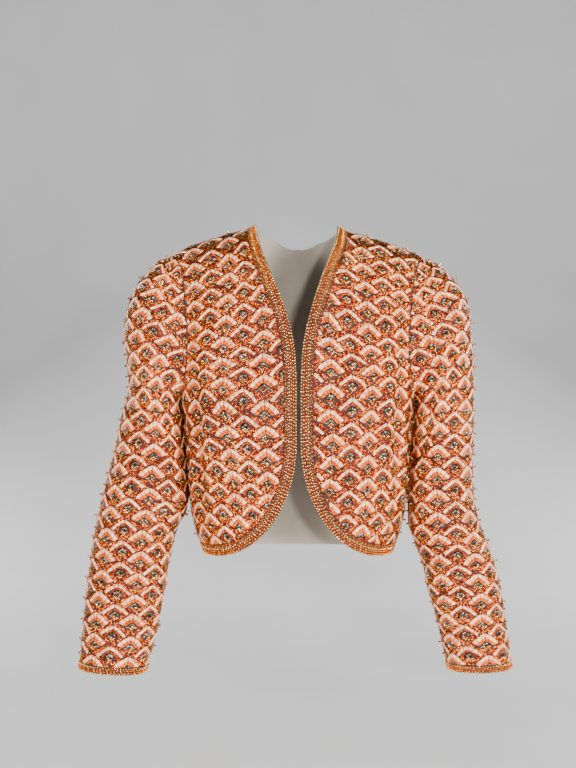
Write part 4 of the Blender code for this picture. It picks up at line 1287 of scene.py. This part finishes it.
# A bead's stops are its colours by tone, then come its roughness and how much that varies
MATERIALS = {
    "white": bead_finish(
        "pearl_bugle_glass",
        (
            (0.0, (0.46, 0.15, 0.06)),
            (0.3, (0.82, 0.36, 0.17)),
            (0.7, (1.0, 0.54, 0.30)),
            (1.0, (1.0, 0.73, 0.49)),
        ),
        0.3, 0.16, metallic=0.12, specular_ior_level=0.4, coat_weight=0.15, coat_roughness=0.15,
    ),
    "coral": bead_finish(
        "coral_bugle_glass",
        ((0.0, (0.36, 0.035, 0.002)), (0.5, (0.62, 0.105, 0.007)), (1.0, (0.88, 0.22, 0.025))),
        0.32, 0.16, metallic=0.45, specular_ior_level=0.3,
    ),
    "fan": bead_finish(
        "gunmetal_bugle_glass",
        ((0.0, (0.02, 0.014, 0.009)), (0.5, (0.10, 0.080, 0.060)), (1.0, (0.52, 0.46, 0.37))),
        0.22, 0.16, metallic=0.9,
    ),
    "ray": bead_finish(
        "amber_bugle_glass",
        ((0.0, (0.10, 0.006, 0.001)), (0.5, (0.60, 0.062, 0.003)), (1.0, (0.95, 0.22, 0.015))),
        0.3, 0.16, metallic=0.85, specular_ior_level=0.3,
    ),
    "seed": bead_finish(
        "copper_seed_glass",
        (
            (0.0, (0.035, 0.002, 0.0004)),
            (0.30, (0.25, 0.020, 0.001)),
            (0.60, (0.60, 0.075, 0.003)),
            (0.85, (0.90, 0.20, 0.008)),
            (1.0, (1.0, 0.56, 0.14)),
        ),
        0.26, 0.14, metallic=0.9, specular_ior_level=0.3,
    ),
    "gold": bead_finish(
        "gold_bead_metal",
        ((0.0, (0.10, 0.022, 0.002)), (0.4, (0.52, 0.18, 0.018)), (1.0, (1.0, 0.64, 0.19))),
        0.2, 0.12, metallic=0.9,
    ),
    "braid": bead_finish(
        "copper_gold_oval_glass",
        ((0.0, (0.12, 0.008, 0.001)), (0.5, (0.62, 0.095, 0.002)), (1.0, (1.0, 0.31, 0.010))),
        0.20, 0.12, metallic=0.95, specular_ior_level=0.3,
    ),
    # The ground silk is coloured near black: painted shade for the gaps between the beads.
    "ground": silk_finish("painted_shade_ground_silk", (0.012, 0.001, 0.0003), (0.05, 0.005, 0.001), 420.0, 0.75, 0.0),
    "lining": silk_finish("grey_lining_silk", (0.27, 0.22, 0.17), (0.50, 0.43, 0.35), 420.0, 0.42, 0.25),
    # The braid's tape is coloured near black too: painted shade between the braid's beads.
    "tape": silk_finish("painted_shade_braid_tape", (0.012, 0.002, 0.0004), (0.04, 0.007, 0.0015), 500.0, 0.75, 0.0),
}


# The cloth and its braid


def lined_cloth(name, node, outer, inner, triangles, finishes):
    """A closed wall between an outer and an inner surface that have the same triangles."""
    count = len(outer)
    edges = np.concatenate([triangles[:, [0, 1]], triangles[:, [1, 2]], triangles[:, [2, 0]]])
    used = {tuple(edge) for edge in edges.tolist()}
    rim = np.array([edge for edge in sorted(used) if edge[::-1] not in used])
    sides = np.concatenate(
        [
            np.stack([rim[:, 1], rim[:, 0], rim[:, 0] + count], -1),
            np.stack([rim[:, 1], rim[:, 0] + count, rim[:, 1] + count], -1),
        ]
    )
    faces = np.concatenate([triangles, triangles[:, ::-1] + count, sides])
    points = np.concatenate([outer, inner])
    a, b, c = (points[faces[:, k]] for k in range(3))
    if np.sum(a * np.cross(b, c)) < 0:
        faces = faces[:, ::-1]
    mesh = new_mesh(name, points, faces)
    index = np.ones(len(faces), np.int32)
    index[: len(triangles)] = 0
    mesh.polygons.foreach_set("material_index", index)
    for finish in finishes:
        mesh.materials.append(MATERIALS[finish])
    mesh.set_sharp_from_angle(angle=SHARP_ANGLE)
    piece = add_piece(name, mesh)
    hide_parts(node)
    a, b, c = (outer[triangles[:, k]] for k in range(3))
    return piece, float(np.linalg.norm(np.cross(b - a, c - a), axis=1).sum() / 2)


def torso_shell(name, places, face, folds, triangles):
    """A torso panel's silk with its lining."""
    turn, level = places[:, 0], places[:, 1]
    normal = torso_normal(turn, level, face)
    outer = torso_point(turn, level, face, folds)
    cloth = outer - normal * CLOTH_SINK
    return lined_cloth(f"{name}_cloth", name, cloth, outer - normal * WALL, triangles, ("ground", "lining"))


def braid_strip(name, lines, closed_round):
    """The tape of a braid over three lines of points and normals."""
    inner = np.stack([points + normals * TAPE_FOOT for points, normals in lines])
    outer = np.stack([p + n * height for (p, n), height in zip(lines, TAPE_HEIGHTS)])
    index = np.arange(inner.shape[0] * inner.shape[1]).reshape(inner.shape[:2])
    triangles = grid_triangles(index, closed_round)
    return lined_cloth(
        f"{name}_tape", name, outer.reshape(-1, 3), inner.reshape(-1, 3), triangles, ("tape", "tape")
    )[0]


def braid_beads(name, line_at, rows, closed_round, rng):
    """Rows of beads along a braid. line_at gives points and normals at a distance in from the edge."""
    beads = BeadMesh(f"{name}_beads", ["braid", "gold"])
    for row in named_rows(rows, BRAID_ROW_COLUMNS):
        points, normals = line_at(row["in_from_edge"])
        if closed_round:
            points = np.concatenate([points, points[:1]])
            normals = np.concatenate([normals, normals[:1]])
        reach = reach_along(points)
        count = int(reach[-1] / row["pitch"])
        at = (np.arange(count) + 0.5 * (row["phase"] > 0)) * reach[-1] / count + row["half_length"] * BRAID_END
        at = at[at < reach[-1] - (0 if closed_round else row["half_length"] * BRAID_END)]
        axis = read_line(at + BRAID_NUDGE, reach, points) - read_line(at - BRAID_NUDGE, reach, points)
        frames = bead_frames(axis, read_line(at, reach, normals))
        turn = np.radians(rng.normal(0, BRAID_LEAN, len(at)))
        cosine, sine = np.cos(turn)[:, None], np.sin(turn)[:, None]
        x, y, z = frames[..., 0], frames[..., 1], frames[..., 2]
        x, y = x * cosine + y * sine, y * cosine - x * sine
        frames = np.stack([x, y, z], -1)
        centre = read_line(at, reach, points)
        centre = centre + z * (row["lift"] + rng.normal(0, HEIGHT_SPREAD, len(at)))[:, None]
        centre += y * rng.normal(0, BRAID_SHIFT, len(at))[:, None]
        size = rng.uniform(*BRAID_SIZES, len(at))
        sizes = np.stack([row["half_length"] * size, row["radius"] * size, row["radius"] * size], -1)
        form = OVAL if row["finish"] == "braid" else SMALL_ROUND
        tones = np.where(np.arange(len(at)) % 2, row["odd_tone"], row["even_tone"])
        tones = tones + rng.normal(0, BRAID_TONE_SPREAD, len(at))
        beads.add(form, centre, frames, sizes, np.clip(tones, 0, 1), row["finish"])
    return beads.build()


def braid(name, lines, line_at, rows, closed_round, rng):
    """A braid: its tape and its rows of beads."""
    pieces = [braid_strip(name, lines, closed_round), braid_beads(name, line_at, rows, closed_round, rng)]
    return pieces


def sew_bugles(panel, beads, finish, ends, rng):
    """Long beads between two ends, in metres across and up the pattern, cut short at the outline."""
    start, end, radius, lift = ends
    shift = rng.normal(0, BUGLE_SHIFT, start.shape)
    start, end = start + shift, end + shift + rng.normal(0, BUGLE_LEAN, start.shape)
    samples = start[:, None] + (end - start)[:, None] * BUGLE_SAMPLES[None, :, None]
    places = panel.find(samples.reshape(-1, 2))
    good = panel.room(places).reshape(samples.shape[:2]) > BUGLE_MARGIN
    places = places.reshape(samples.shape)
    first = good.argmax(axis=1)
    last = len(BUGLE_SAMPLES) - 1 - good[:, ::-1].argmax(axis=1)
    keep = (good.sum(axis=1) == last - first + 1) & (last - first >= 2)
    pick = np.arange(len(start))
    p, n = panel.surface(places[pick, first][keep])
    q, m = panel.surface(places[pick, last][keep])
    length = np.linalg.norm(q - p, axis=1)
    fits = (length > SHORTEST_BUGLE) & (length < LONGEST_BUGLE)
    values = (p, q, n, m, length, radius[keep], lift[keep])
    p, q, n, m, length, radius, lift = (value[fits] for value in values)
    frames = bead_frames(q - p, n + m)
    centre = (p + q) / 2 + frames[..., 2] * (lift + rng.normal(0, HEIGHT_SPREAD, len(p)))[:, None]
    sizes = np.stack([length * rng.uniform(*BUGLE_LENGTHS, len(p)), radius, radius], -1)
    beads.add(BUGLE, centre, frames, sizes, rng.beta(*BUGLE_TONES, len(p)), finish)


def sew_seeds(panel, beads, spots, rng):
    """Seed beads flat on the cloth."""
    places = panel.find(spots)
    p, n = panel.surface(places[panel.room(places) > SEED_MARGIN])
    frames = bead_frames(rng.normal(0, 1, p.shape), n)
    size = SEED_RADIUS * rng.uniform(*SEED_SIZES, len(p))
    centre = p + n * rng.normal(SEED_LIFT, SEED_LIFT_SPREAD, len(p))[:, None]
    sizes = np.repeat(size[:, None], 3, axis=1)
    beads.add(SEED, centre, frames, sizes, rng.beta(*SEED_TONES, len(p)), "seed")


def sew_gold(panel, beads, form, spots, radius, lift, rng):
    """Gold beads at the foot of a fan."""
    places = panel.find(spots)
    keep = panel.room(places) > GOLD_MARGIN
    p, n = panel.surface(places[keep])
    centre = p + (n + rng.normal(0, GOLD_TILT, n.shape)) * lift[keep][:, None]
    frames = bead_frames(rng.normal(0, 1, p.shape), n)
    sizes = np.repeat(radius[keep][:, None], 3, axis=1)
    beads.add(form, centre, frames, sizes, rng.uniform(*GOLD_TONES, len(p)), "gold")


def sew_beads(panel, rng):
    """All the beads of the scale pattern on one panel, as pieces."""
    bugles = BeadMesh(f"{panel.name}_bugles", ["white", "coral", "fan", "ray"])
    seeds = BeadMesh(f"{panel.name}_seeds", ["seed"])
    gold = BeadMesh(f"{panel.name}_gold", ["gold"])
    for kind, fans in panel.cells().items():
        fans = fans[panel.room(panel.find(fans)) > FAN_MARGIN]
        fans = fans + rng.normal(0, CELL_SHIFT, fans.shape)
        lean = np.radians(rng.normal(0, CELL_LEAN, len(fans)))
        size = rng.normal(1.0, CELL_SPREAD, len(fans))
        cosine, sine = (np.cos(lean) * size)[:, None], (np.sin(lean) * size)[:, None]

        def around_fans(offsets):
            """The same places round every fan."""
            x, y = offsets[:, 0], offsets[:, 1]
            spots = fans[:, None] + np.stack([cosine * x - sine * y, sine * x + cosine * y], -1)
            return spots.reshape(-1, 2)

        listed = cell_bugles(kind)
        for finish in bugles.finishes:
            chosen = np.array([bead[1:] for bead in listed if bead[0] == finish])
            if len(chosen):
                radius, lift = (np.tile(chosen[:, k], len(fans)) for k in (4, 5))
                ends = (around_fans(chosen[:, 0:2]), around_fans(chosen[:, 2:4]), radius, lift)
                sew_bugles(panel, bugles, finish, ends, rng)
        sew_seeds(panel, seeds, around_fans(cell_seeds(kind, SPACINGS[panel.name])), rng)
        for form, table in ((SEED, GOLD_DOMES), (SMALL_ROUND, GOLD_STACK)):
            chosen = np.array(table)
            radius, lift = (np.tile(chosen[:, k], len(fans)) for k in (2, 3))
            sew_gold(panel, gold, form, around_fans(chosen[:, :2]), radius, lift, rng)
    pieces = [bugles.build(), seeds.build(), gold.build()]
    return pieces


def dress_front(side, word, folds, rng):
    """A front: its silk, its scale pattern and its braid."""
    rows, across = SHELL_ROWS["front"]
    mirror = np.array([side, 1.0])
    grid = front_grid(word, rows, across) * mirror
    placed = [(side * row[0], side * row[1], *row[2:]) for row in folds]
    name = f"front_{word}"
    triangles = grid_triangles(np.arange(rows * across).reshape(rows, across))
    cloth, area = torso_shell(name, grid.reshape(-1, 2), FRONT, placed, triangles)
    outline = np.concatenate([grid[:, 2], grid[-1, 3:], grid[-2::-1, -1], grid[0, -2:2:-1]])
    panel = TorsoPanel(name, side, FRONT, placed, outline)
    pieces = sew_beads(panel, rng)
    edge = spaced(front_edge(word), EDGE_POINTS)

    def line_at(distance):
        """A line of beads at a distance in from the free edge."""
        line = step_across(edge, FRONT, -distance)
        line = line[(line[:, 1] < TOP_LEVEL) & (line[:, 0] < SIDE_LIMIT)]
        return panel.surface(line * mirror)

    def strip_line(distance):
        """The same for the tape, which ends exactly at the seams."""
        line = step_across(edge, FRONT, -distance)
        line[0, 1], line[-1, 0] = TOP_LEVEL, SIDE_LIMIT
        return panel.surface(np.minimum(line, [SIDE_LIMIT, TOP_LEVEL])[::2] * mirror)

    lines = [strip_line(share * BRAID_WIDTH) for share in BRAID_SHARES]
    pieces += braid(f"front_braid_{word}", lines, line_at, BRAID_ROWS, False, rng)


def dress_back(rng):
    """The back: its silk, its scale pattern and the braid of its neck and hem."""
    rows, across = SHELL_ROWS["back"]
    grid, strip, first = back_grid(rows, across)
    main = np.arange(grid.shape[0] * grid.shape[1]).reshape(grid.shape[:2])
    upper = main.size + np.arange(strip.shape[0] * strip.shape[1]).reshape(strip.shape[:2])
    neck = np.concatenate([main[-1:, first : first + strip.shape[1]], upper])
    places = np.concatenate([grid.reshape(-1, 2), strip.reshape(-1, 2)])
    triangles = np.concatenate([grid_triangles(main), grid_triangles(neck)])
    cloth, area = torso_shell("back", places, BACK, BACK_FOLDS, triangles)
    outline = np.concatenate([grid[2], grid[3:, -1], grid[-1, -2::-1], grid[-2:2:-1, 0]])
    panel = TorsoPanel("back", 0, BACK, BACK_FOLDS, outline)
    pieces = sew_beads(panel, rng)
    neckline = back_neckline(NECK_POINTS)
    along_hem = np.linspace(-SIDE_LIMIT, SIDE_LIMIT, HEM_POINTS)
    hem = np.stack([along_hem, np.full(HEM_POINTS, -1.0)], -1)

    def neck_line(distance):
        """A line of beads below the neck edge."""
        line = step_across(neckline, BACK, -distance)
        return panel.surface(line[line[:, 1] < TOP_LEVEL])

    def neck_strip(distance):
        """The same for the tape, which ends exactly at the seams."""
        line = step_across(neckline, BACK, -distance)
        line[[0, -1], 1] = TOP_LEVEL
        return panel.surface(np.minimum(line, [SIDE_LIMIT, TOP_LEVEL]))

    def hem_line(distance):
        """A line above the hem, for beads or tape."""
        line = step_across(hem, BACK, distance)
        return panel.surface(np.clip(line, [-SIDE_LIMIT, -1.0], [SIDE_LIMIT, 1.0]))

    for name, strip_at, bead_at in (
        ("neck_braid_back", neck_strip, neck_line),
        ("hem_braid_back", hem_line, hem_line),
    ):
        lines = [strip_at(share * BRAID_WIDTH) for share in BRAID_SHARES]
        pieces += braid(name, lines, bead_at, BRAID_ROWS, False, rng)


def dress_sleeve(side, word, rng):
    """A sleeve: its silk, its scale pattern and the braid of its cuff."""
    rows, count = SHELL_ROWS["sleeve"]
    at = np.linspace(0, 1, rows)
    points, normal = sleeve_rows(side, count, at)
    outer, out = points.reshape(-1, 3), normal.reshape(-1, 3)
    triangles = grid_triangles(np.arange(rows * count).reshape(rows, count), closed_round=True)
    name = f"sleeve_{word}"
    cloth, area = lined_cloth(
        f"{name}_cloth", name, outer - out * CLOTH_SINK, outer - out * WALL, triangles, ("ground", "lining")
    )
    panel = SleevePanel(name, side)
    pieces = sew_beads(panel, rng)

    def cuff_line(distance):
        """A line round the sleeve at a distance above its cuff."""
        row = (1 - distance / SLEEVE_LENGTH) * (DENSE_SLEEVE_ROWS - 1)
        column_at = np.arange(DENSE_SLEEVE_ROUND, dtype=float)
        return panel.surface(np.stack([np.full(DENSE_SLEEVE_ROUND, row), column_at], -1))

    lines = [cuff_line(share * CUFF_BRAID_WIDTH) for share in BRAID_SHARES]
    pieces += braid(f"cuff_braid_{word}", lines, cuff_line, CUFF_ROWS, True, rng)


# Studio


def make_stage():
    """A pale floor that curves up behind the jacket."""
    bpy.ops.object.select_all(action="DESELECT")
    bpy.ops.mesh.primitive_plane_add(size=1, location=FLOOR_PLACE)
    floor = bpy.context.object
    floor.name = "studio_floor"
    floor.scale = FLOOR_SCALE
    bpy.ops.object.transform_apply(location=True, rotation=True, scale=True)
    back = max(vertex.co.y for vertex in floor.data.vertices)
    select_edges(floor, lambda a, b: min(a.y, b.y) > back - 1e-4)
    bpy.ops.object.mode_set(mode="EDIT")
    bpy.ops.mesh.extrude_region_move(TRANSFORM_OT_translate={"value": (0, 0, WALL_HEIGHT)})
    bpy.ops.object.mode_set(mode="OBJECT")
    low = FLOOR_PLACE[2] + 1e-4
    select_edges(floor, lambda a, b: min(a.y, b.y) > back - 1e-4 and max(a.z, b.z) < low)
    bpy.ops.object.mode_set(mode="EDIT")
    bpy.ops.mesh.bevel(offset=WALL_BEND, segments=16, affect="EDGES")
    bpy.ops.mesh.select_all(action="SELECT")
    bpy.ops.mesh.normals_make_consistent(inside=False)
    bpy.ops.object.mode_set(mode="OBJECT")
    floor.data.shade_smooth()
    floor.data.materials.append(studio_finish())


def select_edges(piece, wanted):
    """Selects the edges of a piece whose two ends pass a test, and nothing else."""
    mesh = piece.data
    for item in (*mesh.vertices, *mesh.polygons, *mesh.edges):
        item.select = False
    for edge in mesh.edges:
        a, b = (mesh.vertices[i].co for i in edge.vertices)
        edge.select = wanted(a, b)
        if edge.select:
            for i in edge.vertices:
                mesh.vertices[i].select = True
    bpy.context.tool_settings.mesh_select_mode = (False, True, False)


def make_lights():
    """Softboxes round the jacket and a pale surrounding."""
    for light in named_rows(LIGHTS, LIGHT_COLUMNS):
        data = bpy.data.lights.new(light["name"], "AREA")
        data.shape, data.size, data.energy = "SQUARE", light["size"], light["power"]
        lamp = bpy.data.objects.new(light["name"], data)
        bpy.context.scene.collection.objects.link(lamp)
        way = np.array(light["target"]) - np.array(light["place"])
        lamp.location = light["place"]
        lamp.rotation_euler = Vector(way).to_track_quat("-Z", "Y").to_euler()
    world = bpy.data.worlds.new("pale_studio")
    world.use_nodes = True
    background = world.node_tree.nodes["Background"]
    background.inputs["Color"].default_value = WORLD_COLOUR
    background.inputs["Strength"].default_value = WORLD_STRENGTH
    bpy.context.scene.world = world


def make_camera():
    """A level camera in front of the jacket, where the photograph was taken from."""
    data = bpy.data.cameras.new("camera")
    data.sensor_fit, data.sensor_height = "VERTICAL", 24.0
    data.lens = data.sensor_height * CAMERA_DISTANCE / VIEW_HEIGHT
    camera = bpy.data.objects.new("camera", data)
    bpy.context.scene.collection.objects.link(camera)
    camera.location = (CAMERA_X, -CAMERA_DISTANCE, CAMERA_Z)
    camera.rotation_euler = (math.pi / 2, 0, 0)
    bpy.context.scene.camera = camera


RNG = np.random.default_rng(11)
dress_front(RIGHT, "right", RIGHT_FRONT_FOLDS, RNG)
dress_front(LEFT, "left", LEFT_FRONT_FOLDS, RNG)
dress_back(RNG)
dress_sleeve(RIGHT, "right", RNG)
dress_sleeve(LEFT, "left", RNG)
make_stage()
make_lights()
make_camera()
